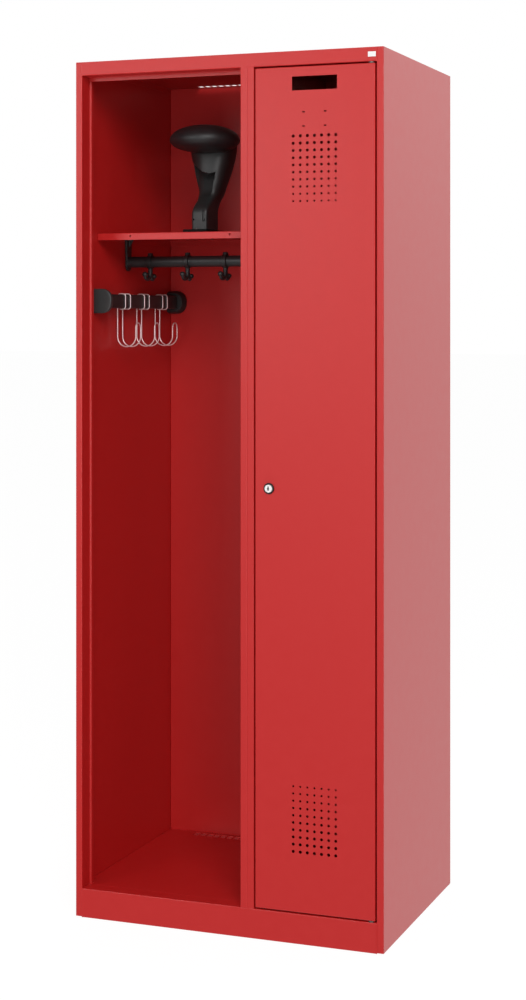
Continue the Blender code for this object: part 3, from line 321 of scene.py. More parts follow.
def join_solids(helper, voxel):
    """Makes one closed surface of overlapping solids, on a grid of the given size."""
    join = helper.modifiers.new("join", "REMESH")
    join.mode = "VOXEL"
    join.voxel_size = voxel


def cut(helper, bm, name, voxel=None):
    """Cuts a shape out of a working object and returns the tool; overlapping solids need a voxel size."""
    tool = loose_object(bm, name)
    if voxel:
        join_solids(tool, voxel)
    change = helper.modifiers.new("cut", "BOOLEAN")
    change.object = tool
    change.operation = "DIFFERENCE"
    change.solver = "EXACT"
    tool.hide_render = True
    return tool


def carved(bm, gaps, name, node, bevel=None, voxel=None, sharp=CREASE):
    """A finished piece with another shape cut out of it; bevel is its edges' width, segments and angle."""
    helper = loose_object(bm, f"{name}_work")
    tool = cut(helper, gaps, f"{name}_gaps", voxel)
    if bevel:
        add_bevel(helper, *bevel)
    return mesh_piece(evaluated_mesh(helper, tool), name, node, sharp)


# -------- shape helpers
CAP_STEPS = (0.4, 0.8, 1.0)     # where a round bar's domed end has rings, as shares of its radius
CAP_TIP = 1e-5


def arc_points(centre, radius, start, end, count):
    """Points on a circle in a plane, from start to end in degrees."""
    angles = [math.radians(start + (end - start) * i / count) for i in range(count + 1)]
    return [(centre[0] + radius * math.cos(a), centre[1] + radius * math.sin(a)) for a in angles]


def rounded_rectangle(low, high, corner, count):
    """The outline between two (across, up) corners, with a round of the given radius at each corner."""
    (left, right), (bottom, top) = ((a + corner, b - corner) for a, b in zip(low, high))
    centres = ((right, bottom), (right, top), (left, top), (left, bottom))
    return [point for start, centre in zip((270, 0, 90, 180), centres)
            for point in arc_points(centre, corner, start, start + 90, count)]


def skin(bm, rings, cap=True):
    """Faces between rings of points; the rings are closed loops, and the ends are capped."""
    loops = [[bm.verts.new(point) for point in ring] for ring in rings]
    count = len(loops[0])
    for lower, upper in zip(loops, loops[1:]):
        for i in range(count):
            j = (i + 1) % count
            bm.faces.new((lower[i], lower[j], upper[j], upper[i]))
    if cap:
        bm.faces.new(list(reversed(loops[0])))
        bm.faces.new(loops[-1])
    return loops


def turned(profile, centre, axis, steps=48):
    """A turned solid; profile is a list of (radius, distance along the axis). Radius 0 closes an end."""
    bm = bmesh.new()
    turn = Z.rotation_difference(Vector(axis)).to_matrix()
    rows = []
    for radius, along in profile:
        angles = [2 * math.pi * i / steps for i in range(steps if radius else 1)]
        offsets = [Vector((radius * math.cos(a), radius * math.sin(a), along)) for a in angles]
        rows.append([bm.verts.new(Vector(centre) + turn @ offset) for offset in offsets])
    hollow = profile[0][0] != 0
    for first, second in zip(rows, rows[1:] + rows[:1] if hollow else rows[1:]):
        for i in range(steps):
            j = (i + 1) % steps
            if len(first) == 1:
                bm.faces.new((first[0], second[i], second[j]))
            elif len(second) == 1:
                bm.faces.new((first[i], first[j], second[0]))
            else:
                bm.faces.new((first[i], first[j], second[j], second[i]))
    return bm


def softened(profile, radius):
    """The same open profile with its inner corners rounded by short arcs."""
    count = 3
    points = [profile[0]]
    for before, corner, after in zip(profile, profile[1:], profile[2:]):
        b, c, a = Vector(before), Vector(corner), Vector(after)
        reach = min(radius, (b - c).length * 0.45, (a - c).length * 0.45)
        start, end = c + (b - c).normalized() * reach, c + (a - c).normalized() * reach
        for i in range(count + 1):
            t = i / count
            points.append(tuple((1 - t) ** 2 * start + 2 * t * (1 - t) * c + t ** 2 * end))
    points.append(profile[-1])
    return points


def swept(bm, path, radius, sides=12):
    """A round bar along a path, with a rounded cap at each end. Radius is a number or one per point."""
    path = [Vector(p) for p in path]
    radii = radius if isinstance(radius, list) else [radius] * len(path)
    tangents = []
    for i in range(len(path)):
        before, after = path[max(i - 1, 0)], path[min(i + 1, len(path) - 1)]
        tangents.append((after - before).normalized())
    side = tangents[0].orthogonal().normalized()

    def ring(centre, tangent, across, size):
        other = tangent.cross(across)
        return [centre + (across * math.cos(a) + other * math.sin(a)) * size
                for a in (2 * math.pi * i / sides for i in range(sides))]

    def cap_ring(point, tangent, size, share, sign):
        """One ring of a domed end; the sign says whether the end lies ahead of the point or behind it."""
        return ring(point + tangent * size * (sign * share), tangent, side,
                    size * math.sqrt(1 - share * share) + CAP_TIP)

    rings = [cap_ring(path[0], tangents[0], radii[0], share, -1) for share in reversed(CAP_STEPS)]
    for point, tangent, size in zip(path, tangents, radii):
        side = (side - tangent * side.dot(tangent)).normalized()
        rings.append(ring(point, tangent, side, size))
    rings += [cap_ring(path[-1], tangents[-1], radii[-1], share, 1) for share in CAP_STEPS]
    skin(bm, rings)


def smooth_path(points, per_span=6):
    """A Catmull-Rom curve through the points, which may be of any length."""
    ends = [points[0], *points, points[-1]]
    path = []
    for p0, p1, p2, p3 in zip(ends, ends[1:], ends[2:], ends[3:]):
        p0, p1, p2, p3 = Vector(p0), Vector(p1), Vector(p2), Vector(p3)
        for i in range(per_span):
            t = i / per_span
            path.append(0.5 * (2 * p1 + (p2 - p0) * t + (2 * p0 - 5 * p1 + 4 * p2 - p3) * t ** 2
                               + (3 * p1 - p0 - 3 * p2 + p3) * t ** 3))
    path.append(Vector(points[-1]))
    return path


def block(bm, low, high):
    made = bmesh.ops.create_cube(bm, size=1.0)["verts"]
    bmesh.ops.scale(bm, vec=[h - l for l, h in zip(low, high)], verts=made)
    bmesh.ops.translate(bm, vec=[(h + l) / 2 for l, h in zip(low, high)], verts=made)


def rod(bm, centre, radius, length, axis, sides=32, end_radius=None):
    turn = Z.rotation_difference(Vector(axis)).to_matrix().to_4x4()
    bmesh.ops.create_cone(bm, cap_ends=True, segments=sides, radius1=radius,
                          radius2=radius if end_radius is None else end_radius, depth=length,
                          matrix=Matrix.Translation(centre) @ turn)


def ball(bm, centre, radius, stretch=(1, 1, 1)):
    place = Matrix.Translation(centre) @ Matrix.Diagonal((*stretch, 1))
    bmesh.ops.create_uvsphere(bm, u_segments=20, v_segments=12, radius=radius, matrix=place)


def moulded(bm, name, voxel):
    """One closed moulded surface from overlapping solids, with its inner and outer corners eased."""
    helper = loose_object(bm, name)
    join_solids(helper, voxel)
    ease = helper.modifiers.new("ease", "SMOOTH")
    ease.iterations = 3
    ease.factor = 0.5
    return evaluated_mesh(helper)


# -------- folded sheets from the frame
SHEET_NODES = [
    "left_side_panel", "right_side_panel", "middle_wall_left", "middle_wall_right", "header_rail",
    "plinth_front", "plinth_rear", "back_panel", "top_panel", "floor_left", "floor_right",
    "hat_shelf_left", "hat_shelf_right", "door_stiffener", "blank_badge",
]
SHEET_EDGE = 0.00018


def dress_cad_nodes():
    """Finishes for the CAD nodes, and eased cut edges on the sheets that stay in view."""
    for node, piece in frame["nodes"].items():
        for i in range(len(piece.material_slots)):
            piece.material_slots[i].material = FINISHES[SLOT_OF[node]]
    for node in SHEET_NODES:
        piece = frame["nodes"][node]
        weld = piece.modifiers.new("weld", "WELD")
        weld.merge_threshold = 0.000005
        add_bevel(piece, SHEET_EDGE, 1, angle=50)


# -------- joints between the sheets
HEADER_FACE_LOW = 1.8207
WELD_PROUD = 0.00001            # how far the ground strips stand out of the sheets
WELD_REACH = 0.0008             # half the width of a strip, and its depth
SEAM_SUNK = 0.00018


def joint_piece(name, node, strips):
    """Thin strips of weld or sealant, given as (low corner, high corner), that close gaps between sheets."""
    bm = bmesh.new()
    for low, high in strips:
        block(bm, low, high)
    visible_piece(mesh_of(bm, name), name, node)


def joint_pieces():
    """Painted welds ground flush at the front, a filler in the upright's seam, and sealant at the top."""
    header, plinth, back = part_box("header_rail"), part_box("plinth_front"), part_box("back_panel")
    left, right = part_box("middle_wall_left"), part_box("middle_wall_right")
    seam_x = (left[1].x + right[0].x) / 2
    face, reach = header[0].y, WELD_REACH
    front, behind = face - WELD_PROUD, face + WELD_REACH
    welds = []
    for x in (header[0].x, header[1].x):
        for z0, z1 in ((HEADER_FACE_LOW, header[1].z), (plinth[0].z, plinth[1].z)):
            welds.append(((x - reach, front, z0), (x + reach, behind, z1)))
    for z in (HEADER_FACE_LOW, plinth[1].z):
        welds.append(((seam_x - STILE, front, z - reach), (seam_x + STILE, behind, z + reach)))
    joint_piece("ground_welds", "header_rail", welds)
    joint_piece("upright_filler", "middle_wall_left", [
        ((seam_x - reach, face + SEAM_SUNK, left[0].z), (seam_x + reach, behind, HEADER_FACE_LOW)),
    ])
    under_top = header[1].z - SHEET + WELD_PROUD
    joint_piece("back_sealant", "back_panel", [
        ((back[0].x, back[0].y, back[1].z - reach), (back[1].x, back[1].y, under_top)),
    ])


# -------- door
VENTS_ACROSS, VENTS_DOWN = 7, 10
VENT_PITCH_X, VENT_PITCH_Z = 0.01557, 0.0150
VENT_LARGE, VENT_SMALL = 0.0033, 0.0021
LOW_GRID_RISE, HIGH_GRID_DROP = 0.1254, 0.2789      # each grid's lowest row, from the door's end
LOCK_CELL, LOCK_HOLE_RADIUS = 0.013, 0.0095
CARD_SLOT_X, CARD_SLOT_DROPS = 0.0238, (0.1238, 0.0945)
CARD_SLOT_HALF_X, CARD_SLOT_HALF_Z = 0.00275, 0.0013
WINDOW_WIDTH, WINDOW_DROPS = 0.0988, (0.0495, 0.0205)
DOOR_LIP = 0.012
DOOR_FOLD, CUT_EDGE = 0.0018, 0.0002                # radii of the folds and of the eased cut edges
HINGE_HOLE_RADIUS, HINGE_HOLE_DEPTH = 0.0045, 0.008


def door_rows():
    """The door's front sheet from the bottom up: (low z, high z, [(low x, high x, hole radius or None)])."""
    low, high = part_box("door_panel")
    centre_x = (low.x + high.x) / 2
    first = centre_x - VENTS_ACROSS / 2 * VENT_PITCH_X
    rows = []

    def grid(first_z, radius_at):
        for row in range(VENTS_DOWN):
            cells = [(first + i * VENT_PITCH_X, first + (i + 1) * VENT_PITCH_X, radius_at(row))
                     for i in range(VENTS_ACROSS)]
            middle_z = first_z + row * VENT_PITCH_Z
            rows.append((middle_z - VENT_PITCH_Z / 2, middle_z + VENT_PITCH_Z / 2, cells))

    step = (VENT_LARGE - VENT_SMALL) / (VENTS_DOWN - 1)
    grid(low.z + LOW_GRID_RISE, lambda row: VENT_LARGE - step * row)
    lock = middle("lock_housing")
    rows.append((lock.z - LOCK_CELL, lock.z + LOCK_CELL,
                 [(lock.x - LOCK_CELL, lock.x + LOCK_CELL, LOCK_HOLE_RADIUS)]))
    grid(high.z - HIGH_GRID_DROP, lambda row: VENT_SMALL + step * row)
    slots = [(x - CARD_SLOT_HALF_X, x + CARD_SLOT_HALF_X, None)
             for x in (centre_x - CARD_SLOT_X, centre_x + CARD_SLOT_X)]
    for drop in CARD_SLOT_DROPS:
        rows.append((high.z - drop - CARD_SLOT_HALF_Z, high.z - drop + CARD_SLOT_HALF_Z, slots))
    half = WINDOW_WIDTH / 2
    bottom, top = WINDOW_DROPS
    rows.append((high.z - bottom, high.z - top, [(centre_x - half, centre_x + half, None)]))
    return rows


def door_sheet():
    """The door: a front sheet with round vents, slots and a window, folded back and in on four sides."""
    low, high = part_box("door_panel")
    bm = bmesh.new()
    made = {}

    def vert(x, z, y=low.y):
        key = (round(x, 6), round(y, 6), round(z, 6))
        if key not in made:
            made[key] = bm.verts.new((x, y, z))
        return made[key]

    def holed_cell(x0, x1, z0, z1, radius, sides=24):
        """Four faces between a rectangle's corners and a round hole in its middle."""
        centre = Vector(((x0 + x1) / 2, (z0 + z1) / 2))
        rim = [bm.verts.new((centre.x + radius * math.cos(a), low.y, centre.y + radius * math.sin(a)))
               for a in (math.pi / 4 + 2 * math.pi * i / sides for i in range(sides))]
        corners = [vert(x1, z1), vert(x0, z1), vert(x0, z0), vert(x1, z0)]
        quarter = sides // 4
        for i in range(4):
            stretch = [rim[(i * quarter + k) % sides] for k in range(quarter + 1)]
            bm.faces.new([corners[i], *stretch, corners[(i + 1) % 4]])

    def plain(x0, x1, z0, z1, below=(), above=()):
        """A flat face that also takes in the corners of the cells below and above it."""
        bottom = sorted({round(x, 6) for x in (x0, x1, *below)})
        top = sorted({round(x, 6) for x in (x0, x1, *above)}, reverse=True)
        bm.faces.new([vert(x, z0) for x in bottom] + [vert(x, z1) for x in top])

    def breaks(cells):
        return sorted({x for cell in cells for x in cell[:2]})

    level, below = low.z, []
    left_chain = [low.z]
    for z0, z1, cells in door_rows():
        if z0 - level > NEGLIGIBLE:
            plain(low.x, high.x, level, z0, below=below, above=breaks(cells))
        left_chain += [z0, z1]
        edge = low.x
        for x0, x1, radius in cells:
            if x0 - edge > NEGLIGIBLE:
                plain(edge, x0, z0, z1)
            if radius:
                holed_cell(x0, x1, z0, z1, radius)
            edge = x1
        plain(edge, high.x, z0, z1)
        level, below = z1, breaks(cells)
    plain(low.x, high.x, level, high.z, below=below)
    left_chain.append(high.z)

    levels = sorted({round(z, 6) for z in left_chain})
    for x in (low.x, high.x):
        bm.faces.new([vert(x, z) for z in levels] + [vert(x, high.z, high.y), vert(x, low.z, high.y)])
    for z in (low.z, high.z):
        bm.faces.new([vert(low.x, z), vert(high.x, z), vert(high.x, z, high.y), vert(low.x, z, high.y)])
    outer, inner = (
        [(low.x + d, low.z + d), (high.x - d, low.z + d), (high.x - d, high.z - d), (low.x + d, high.z - d)]
        for d in (0, DOOR_LIP))
    for i in range(4):
        j = (i + 1) % 4
        bm.faces.new([vert(*outer[i], high.y), vert(*outer[j], high.y),
                      vert(*inner[j], high.y), vert(*inner[i], high.y)])
    helper = loose_object(bm, "door_work")
    add_bevel(helper, DOOR_FOLD, 4, angle=60)
    shell = helper.modifiers.new("metal", "SOLIDIFY")
    shell.thickness = SHEET
    shell.offset = -1.0
    shell.use_even_offset = True
    bore = bmesh.new()
    for node, z in (("hinge_bush_bottom", low.z), ("hinge_bush_top", high.z)):
        hinge = middle(node)
        rod(bore, Vector((hinge.x, hinge.y, z)), HINGE_HOLE_RADIUS, HINGE_HOLE_DEPTH, Z)
    tool = cut(helper, bore, "door_bores")
    add_bevel(helper, CUT_EDGE, 2, angle=50)
    mesh_piece(evaluated_mesh(helper, tool), "vented_door", "door_panel")


# -------- hinges, buffers and lock
def turned_piece(name, node, profile, centre, axis, steps=48, corner=0.0002):
    closed = profile[0][0] != 0
    outline = profile if closed else softened(profile, corner)
    return piece_from(turned(outline, centre, axis, steps), name, node)


def hinge_pieces():
    pin, collar, pin_length, tip = 0.0030, 0.0068, 0.0200, 0.0006
    bush, bore, flange, bush_length, rim = 0.0042, 0.00306, 0.0052, 0.0090, 0.0003
    for label, sign in (("bottom", 1), ("top", -1)):
        node = f"hinge_pin_{label}"
        low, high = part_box(node)
        foot = Vector((middle(node).x, middle(node).y, low.z if sign > 0 else high.z))
        turned_piece(f"hinge_pivot_{label}", node, [
            (0.0, 0.0), (pin, 0.0), (pin, 0.0043), (collar, 0.0043), (collar, 0.0069), (pin, 0.0069),
            (pin, pin_length - tip), (pin - tip, pin_length), (0.0, pin_length),
        ], foot, Z * sign)
        node = f"hinge_bush_{label}"
        low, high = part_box(node)
        foot = Vector((foot.x, foot.y, low.z if sign > 0 else high.z))
        turned_piece(f"hinge_sleeve_{label}", node, [
            (bore, 0.0), (bush - rim, 0.0), (bush, rim), (bush, 0.0013), (flange, 0.0013), (flange, 0.0028),
            (bush, 0.0028), (bush, bush_length - rim), (bush - rim, bush_length), (bore, bush_length),
        ], foot, Z * sign)


def buffer_pieces():
    for label in ("top", "side"):
        low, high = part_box(f"door_buffer_{label}")
        height = high.y - low.y
        base = Vector(((low.x + high.x) / 2, low.y, (low.z + high.z) / 2))
        profile = [(0.0, 0.0), (0.0036, 0.0), (0.0034, height * 0.3), (0.0030, height * 0.72),
                   (0.0022, height), (0.0, height)]
        turned_piece(f"door_bumper_{label}", f"door_buffer_{label}", profile, base, Y, corner=0.0006)


# Lock profiles: radius, and distance out of the door's face.
HOUSING_PROFILE = (
    (0.00608, -0.0295), (0.0092, -0.0295), (0.0092, 0.0003), (0.0116, 0.0003), (0.0116, 0.0018),
    (0.0113, 0.0026), (0.0107, 0.0030), (0.0100, 0.0032), (0.0092, 0.0031), (0.00868, 0.0027),
    (0.00868, 0.0008), (0.00608, 0.0008),
)
PLUG_PROFILE = (
    (0.0, -0.0333), (0.0034, -0.0333), (0.0034, -0.0299), (0.0060, -0.0299), (0.0060, 0.0009),
    (0.0085, 0.0009), (0.0085, 0.0030), (0.0080, 0.0050), (0.0075, 0.0055), (0.0, 0.0055),
)
KEYWAY_HALF, KEYWAY_BULGE, KEYWAY_REACH = 0.0011, 0.0023, 0.0049
KEYWAY_FRONT, KEYWAY_FLOOR = -0.0075, -0.0020       # along Y from the door's face
KEYWAY_SHADE_FRONT, KEYWAY_SHADE_FLOOR = -0.0053, -0.0015
NUT_BORE_RADIUS = 0.0095


def lock_pieces():
    """The rosette, the turning plug with its keyway, the clamping nut, and the cam screw."""
    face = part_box("door_panel")[0].y
    centre = Vector((middle("lock_plug").x, face, middle("lock_plug").z))
    rosette = turned_piece("lock_rosette", "lock_housing", HOUSING_PROFILE, centre, -Y, steps=72)
    rosette.data.materials[0] = satin_metal("burnished_metal", (0.016, 0.013, 0.013), 0.42, 0.5)

    keyway = bmesh.new()
    half, reach = KEYWAY_HALF, KEYWAY_REACH
    outline = [(-half, -reach), (half, -reach)] + arc_points((0.0, 0.0), KEYWAY_BULGE, -60, 60, 8)
    outline += [(half, reach), (-half, reach)] + arc_points((0.0, 0.0), KEYWAY_BULGE, 120, 240, 8)
    skin(keyway, [[centre + Vector((x, y, z)) for x, z in outline] for y in (KEYWAY_FRONT, KEYWAY_FLOOR)])
    plug = carved(turned(softened(PLUG_PROFILE, 0.0003), centre, -Y, steps=72), keyway,
                  "lock_cylinder", "lock_plug", bevel=(0.00012, 1, 60))
    plug.data.materials[0] = satin_metal("satin_nickel", (0.92, 0.91, 0.90), 0.32, 0.35)
    plug.data.materials.append(satin_metal("keyway_shade", (0.020, 0.024, 0.024), 0.50, 0.3))
    for face in plug.data.polygons:
        offset = face.center - centre
        within = max(abs(offset.x), abs(offset.z)) < reach + 0.0001
        if within and KEYWAY_SHADE_FRONT < offset.y < KEYWAY_SHADE_FLOOR:
            face.material_index = 1

    low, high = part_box("lock_nut")
    bm = bmesh.new()
    rod(bm, (low + high) / 2, (high.z - low.z) / 2, high.y - low.y, Y, sides=6)
    bore = bmesh.new()
    rod(bore, (low + high) / 2, NUT_BORE_RADIUS, 0.02, Y, sides=48)
    carved(bm, bore, "lock_ring_nut", "lock_nut", bevel=(0.0004, 2))
    screw_piece("lock_cam_bolt", "lock_cam_screw", Y, 0.0050, 0.0024, 0.0015)


def screw_piece(name, node, outward, head_radius, head_height, shank_radius):
    """A pan-head screw with a cross recess; its head faces outward."""
    low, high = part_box(node)
    centre = (low + high) / 2
    length = abs((high - low).dot(outward))
    top = centre + outward * length / 2
    base = -head_height
    profile = softened([
        (0.0, -length), (shank_radius * 0.8, -length), (shank_radius, -length + 0.0008),
        (shank_radius, base), (head_radius, base), (head_radius, base + head_height * 0.35),
        (head_radius * 0.80, -head_height * 0.12), (head_radius * 0.4, 0.0), (0.0, 0.0),
    ], 0.0003)
    recess = bmesh.new()
    side = outward.orthogonal().normalized()
    for across in (side, outward.cross(side)):
        arm = bmesh.new()
        block(arm, (-head_radius * 0.5, -head_radius * 0.1, -head_height * 0.6),
              (head_radius * 0.5, head_radius * 0.1, head_height))
        turn = Matrix((across, outward.cross(across), outward)).transposed().to_4x4()
        bmesh.ops.transform(arm, matrix=Matrix.Translation(top) @ turn, verts=arm.verts)
        recess.from_mesh(mesh_of(arm, "arm"))
    carved(turned(profile, top, outward, 40), recess, name, node, voxel=head_radius * 0.035)


# -------- clothes rails and coat hooks
def rail_pieces():
    for side in ("left", "right"):
        low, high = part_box(f"clothes_rail_{side}")
        radius, length = (high.z - low.z) / 2, high.x - low.x
        bore, outer_ease, inner_ease = radius - 0.0015, 0.0004, 0.0003
        profile = [
            (bore, inner_ease), (bore + inner_ease, 0.0), (radius - outer_ease, 0.0), (radius, outer_ease),
            (radius, length - outer_ease), (radius - outer_ease, length), (bore + inner_ease, length),
            (bore, length - inner_ease),
        ]
        centre = Vector((low.x, (low.y + high.y) / 2, (low.z + high.z) / 2))
        turned_piece(f"hanging_tube_{side}", f"clothes_rail_{side}", profile, centre, X, steps=72)
        for end in ("outer", "inner"):
            bracket_piece(f"clothes_rail_{side}_bracket_{end}", side, end)


def bracket_piece(node, side, end):
    """A moulded hanger: a waisted plate, a screw flange with a gusset, and a collar round the tube's end."""
    low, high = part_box(node)
    rail_low, rail_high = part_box(f"clothes_rail_{side}")
    rail_z = (rail_low.z + rail_high.z) / 2
    inward = 1 if (rail_low.x + rail_high.x) / 2 > (low.x + high.x) / 2 else -1
    wall_x = low.x if inward > 0 else high.x
    plate, flange, height, half_top = 0.005, 0.003, high.z - low.z, (high.y - low.y) / 2
    waist, shoulder = (0.0118, low.z + height * 0.45), (0.0128, low.z + height * 0.75)
    bm = bmesh.new()
    outline = arc_points((0.0, rail_z - 0.0085), 0.0115, 180, 360, 20)
    outline += [waist, shoulder, (half_top, high.z), (-half_top, high.z),
                (-shoulder[0], shoulder[1]), (-waist[0], waist[1])]
    skin(bm, [[(wall_x, y, z) for y, z in outline], [(wall_x + inward * plate, y, z) for y, z in outline]])
    x_pair = sorted((wall_x, wall_x + inward * (high.x - low.x)))
    block(bm, (x_pair[0], -half_top, high.z - flange), (x_pair[1], half_top, high.z))
    gusset = [(0.004, high.z - 0.002), (0.0195, high.z - 0.002), (0.004, high.z - 0.026)]
    skin(bm, [[(wall_x + inward * x, y, z) for x, z in gusset] for y in (-0.0016, 0.0016)])
    for out, radius, length in ((0.0046, 0.0117, 0.0022), (0.0095, 0.0104, 0.0110)):
        rod(bm, Vector((wall_x + inward * out, 0.0, rail_z)), radius, length, X, sides=40)
    mesh_piece(moulded(bm, f"{node}_work", 0.0005), node.replace("_bracket", "_hanger"), node, sharp=SOFT)


def coat_hook_mesh():
    """One sliding double hook about the middle of its ring: wide strap, grip, stem and two blunt prongs."""
    low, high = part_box("coat_hook_left_1")
    centre = middle("clothes_rail_left")
    inner, outer, half = 0.0128, 0.0157, (high.x - low.x) / 2 - 0.0010
    knob, rod_radius = 0.0066, 0.0042
    bottom = low.z - centre.z + rod_radius
    bm = bmesh.new()
    ring = turned([
        (inner, -half + 0.0006), (inner + 0.0006, -half), (outer - 0.0010, -half), (outer, -half + 0.0012),
        (outer, half - 0.0012), (outer - 0.0010, half), (inner + 0.0006, half), (inner, half - 0.0006),
    ], (0, 0, 0), X, steps=64)
    bm.from_mesh(mesh_of(ring, "ring"))
    rod(bm, Vector((0, 0, outer + 0.0016)), knob, 0.0056, Z, sides=24, end_radius=0.0056)
    ball(bm, Vector((0, 0, outer + 0.0038)), 0.0054, (1.0, 1.0, 0.22))
    stem = [(0, 0, -outer + 0.0018), (0, 0.0, -outer - 0.004), (0, 0.0, bottom + 0.012)]
    swept(bm, smooth_path(stem, 5), 0.0054, sides=16)
    for sign, reach, rise in ((-1, -low.y - knob, 0.011), (1, high.y - knob, 0.007)):
        path = smooth_path([
            (0, 0, -outer - 0.002), (0, sign * 0.0012, bottom + 0.0125), (0, sign * 0.0052, bottom + 0.0036),
            (0, sign * reach * 0.48, bottom + 0.0004), (0, sign * reach * 0.78, bottom + 0.0014),
            (0, sign * (reach - 0.0014), bottom + 0.0048), (0, sign * reach, bottom + rise),
        ], 6)
        radii = [rod_radius + 0.0010 - 0.0014 * i / (len(path) - 1) for i in range(len(path))]
        radii = [min(r, p.z + 0.0001 - (bottom - rod_radius)) for r, p in zip(radii, path)]
        swept(bm, path, radii, sides=16)
        ball(bm, Vector((0, sign * reach, bottom + rise)), knob, (1.0, 0.96, 0.90))
    return moulded(bm, "coat_hook_shape", 0.00045)


def coat_hook_pieces():
    shape = coat_hook_mesh()
    for node in sorted(n for n in frame["nodes"] if n.startswith("coat_hook_")):
        low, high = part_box(node)
        rail = middle("clothes_rail_left" if "left" in node else "clothes_rail_right")
        mesh = shape.copy()
        mesh.transform(Matrix.Translation(((low.x + high.x) / 2, rail.y, rail.z)))
        mesh_piece(mesh, node.replace("coat_hook", "double_hook"), node, sharp=SOFT)
    bpy.data.meshes.remove(shape)


# -------- side rail
def rounded_d(width, half, corner, count=8):
    """A D outline with its flat back on x = 0 and two large front corners."""
    points = [(0.0, -half)]
    points += arc_points((width - corner, -half + corner), corner, 270, 360, count)
    points += arc_points((width - corner, half - corner), corner, 0, 90, count)
    points.append((0.0, half))
    return points


BAR_CORNER, CAP_CORNER = 0.0034, 0.0235


def side_rail_pieces():
    low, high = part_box("side_rail_bar")
    bm = bmesh.new()
    outline = rounded_rectangle((low.x, low.z), (high.x, high.z), BAR_CORNER, 6)
    skin(bm, [[(x, y, z) for x, z in outline] for y in (low.y, high.y)])
    piece_from(bm, "side_rail_beam", "side_rail_bar")

    for label in ("front", "rear"):
        node = f"side_rail_cap_{label}"
        low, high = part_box(node)
        outer_y, towards = (low.y, 1) if label == "front" else (high.y, -1)
        depth, half, width = high.y - low.y, (high.z - low.z) / 2, high.x - low.x
        centre_z = (low.z + high.z) / 2
        levels = [
            (0.0, 0.0032), (0.0003, 0.0018), (0.0010, 0.0007), (0.0022, 0.0), (0.0070, 0.0),
            (0.0105, 0.0006), (0.0135, 0.0020), (0.0160, 0.0036), (0.0180, 0.0050), (depth - 0.0006, 0.0055),
            (depth, 0.0062),
        ]
        bm = bmesh.new()
        rings = []
        for along, inset in levels:
            outline = rounded_d(width - inset, half - inset * 0.8, CAP_CORNER - inset * 0.8)
            rings.append([(low.x + x, outer_y + towards * along, centre_z + z) for x, z in outline])
        skin(bm, rings)
        helper = loose_object(bm, "cap_work")
        bar_low, bar_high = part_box("side_rail_bar")
        pocket = bmesh.new()
        inner_y = outer_y + towards * depth
        ys = sorted((inner_y - towards * 0.008, inner_y + towards * 0.01))
        gap = 0.0003
        block(pocket, (bar_low.x - gap, ys[0], bar_low.z - gap), (bar_high.x + gap, ys[1], bar_high.z + gap))
        tool = cut(helper, pocket, "pocket")
        add_bevel(tool, BAR_CORNER, 4)
        cap = mesh_piece(evaluated_mesh(helper, tool), f"side_rail_end_{label}", node,
                         sharp=50)
        # painted light: the front cap gets a lighter copy of the black plastic than the rear cap, as the one
        # lit from the front
        if label == "front":
            cap.data.materials[0] = moulded_plastic("black_plastic_painted_lit", (0.028, 0.029, 0.029),
                                                    (0.040, 0.041, 0.041), 0.45)


def wire_hook_pieces():
    """A doubled, chromed wire: over the rail, down the wall, round a wide U and up to an arched tip."""
    bar_low, bar_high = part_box("side_rail_bar")
    wire, bend, bowl, crown_z = 0.0014, 0.0066, 0.0225, 1.2868
    clear = wire + 0.0004
    wall_x, room_x = bar_low.x - clear, bar_high.x + clear
    top_z, under_z = bar_high.z + clear, bar_low.z - clear
    for index in (1, 2, 3):
        low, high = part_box(f"wire_hook_{index}")
        outline = [(wall_x + 0.0062, under_z), (wall_x + 0.0090, under_z)]
        outline += arc_points((room_x - bend, under_z + bend), bend, 270, 360, 8)
        outline += arc_points((room_x - bend, top_z - bend), bend, 0, 90, 8)
        outline += arc_points((wall_x + bend, top_z - bend), bend, 90, 180, 8)
        centre = (wall_x + bowl, low.z + wire + bowl)
        outline += arc_points(centre, bowl, 180, 360, 32)
        half, middle_y = (high.y - low.y) / 2 - wire, (low.y + high.y) / 2
        tip_z = crown_z - wire - half
        near = [(x, middle_y - half, z) for x, z in outline]
        arch = [(centre[0] + bowl, middle_y - half * math.cos(math.radians(a)),
                 tip_z + half * math.sin(math.radians(a))) for a in range(0, 181, 10)]
        far = [(x, middle_y + half, z) for x, z in reversed(outline)]
        bm = bmesh.new()
        swept(bm, near + arch + far, wire, sides=14)
        piece_from(bm, f"wire_hanger_{index}", f"wire_hook_{index}", sharp=SOFT)


# -------- helmet stand
# Share of the stem's height, middle in Y, half width, half depth, and squareness.
STEM_SECTIONS = (
    (0.000, -0.0080, 0.0194, 0.0340, 9.0), (0.185, -0.0080, 0.0194, 0.0340, 9.0),
    (0.240, -0.0030, 0.0192, 0.0338, 7.0), (0.320, 0.0140, 0.0202, 0.0330, 4.0),
    (0.405, 0.0290, 0.0255, 0.0330, 3.0), (0.515, 0.0330, 0.0328, 0.0350, 2.6),
    (0.675, 0.0420, 0.0412, 0.0420, 2.4), (0.835, 0.0460, 0.0490, 0.0430, 2.3),
    (0.950, 0.0460, 0.0520, 0.0380, 2.3), (1.000, 0.0460, 0.0505, 0.0330, 2.2),
)
NECK_BULGE = 0.11               # how much wider the neck's left half is than its right half
HOLLOW_START, HOLLOW_DEPTH = 0.37, 0.030
FOOT_FACE_Y, FOOT_HALF = -0.042, 0.0192
FOOT_SCREW_X, FOOT_SCREW_Z, FOOT_SCREW_RADIUS = -0.0130, 0.0226, 0.0024
# The catch in the foot, as cuts: distances in from its right side, and heights over its bottom.
CATCH_CUTS = (
    (0.0107, 0.0086, 0.018, 0.043), (0.0107, 0.0042, 0.018, 0.0200), (0.0060, 0.0042, 0.018, 0.0245),
)


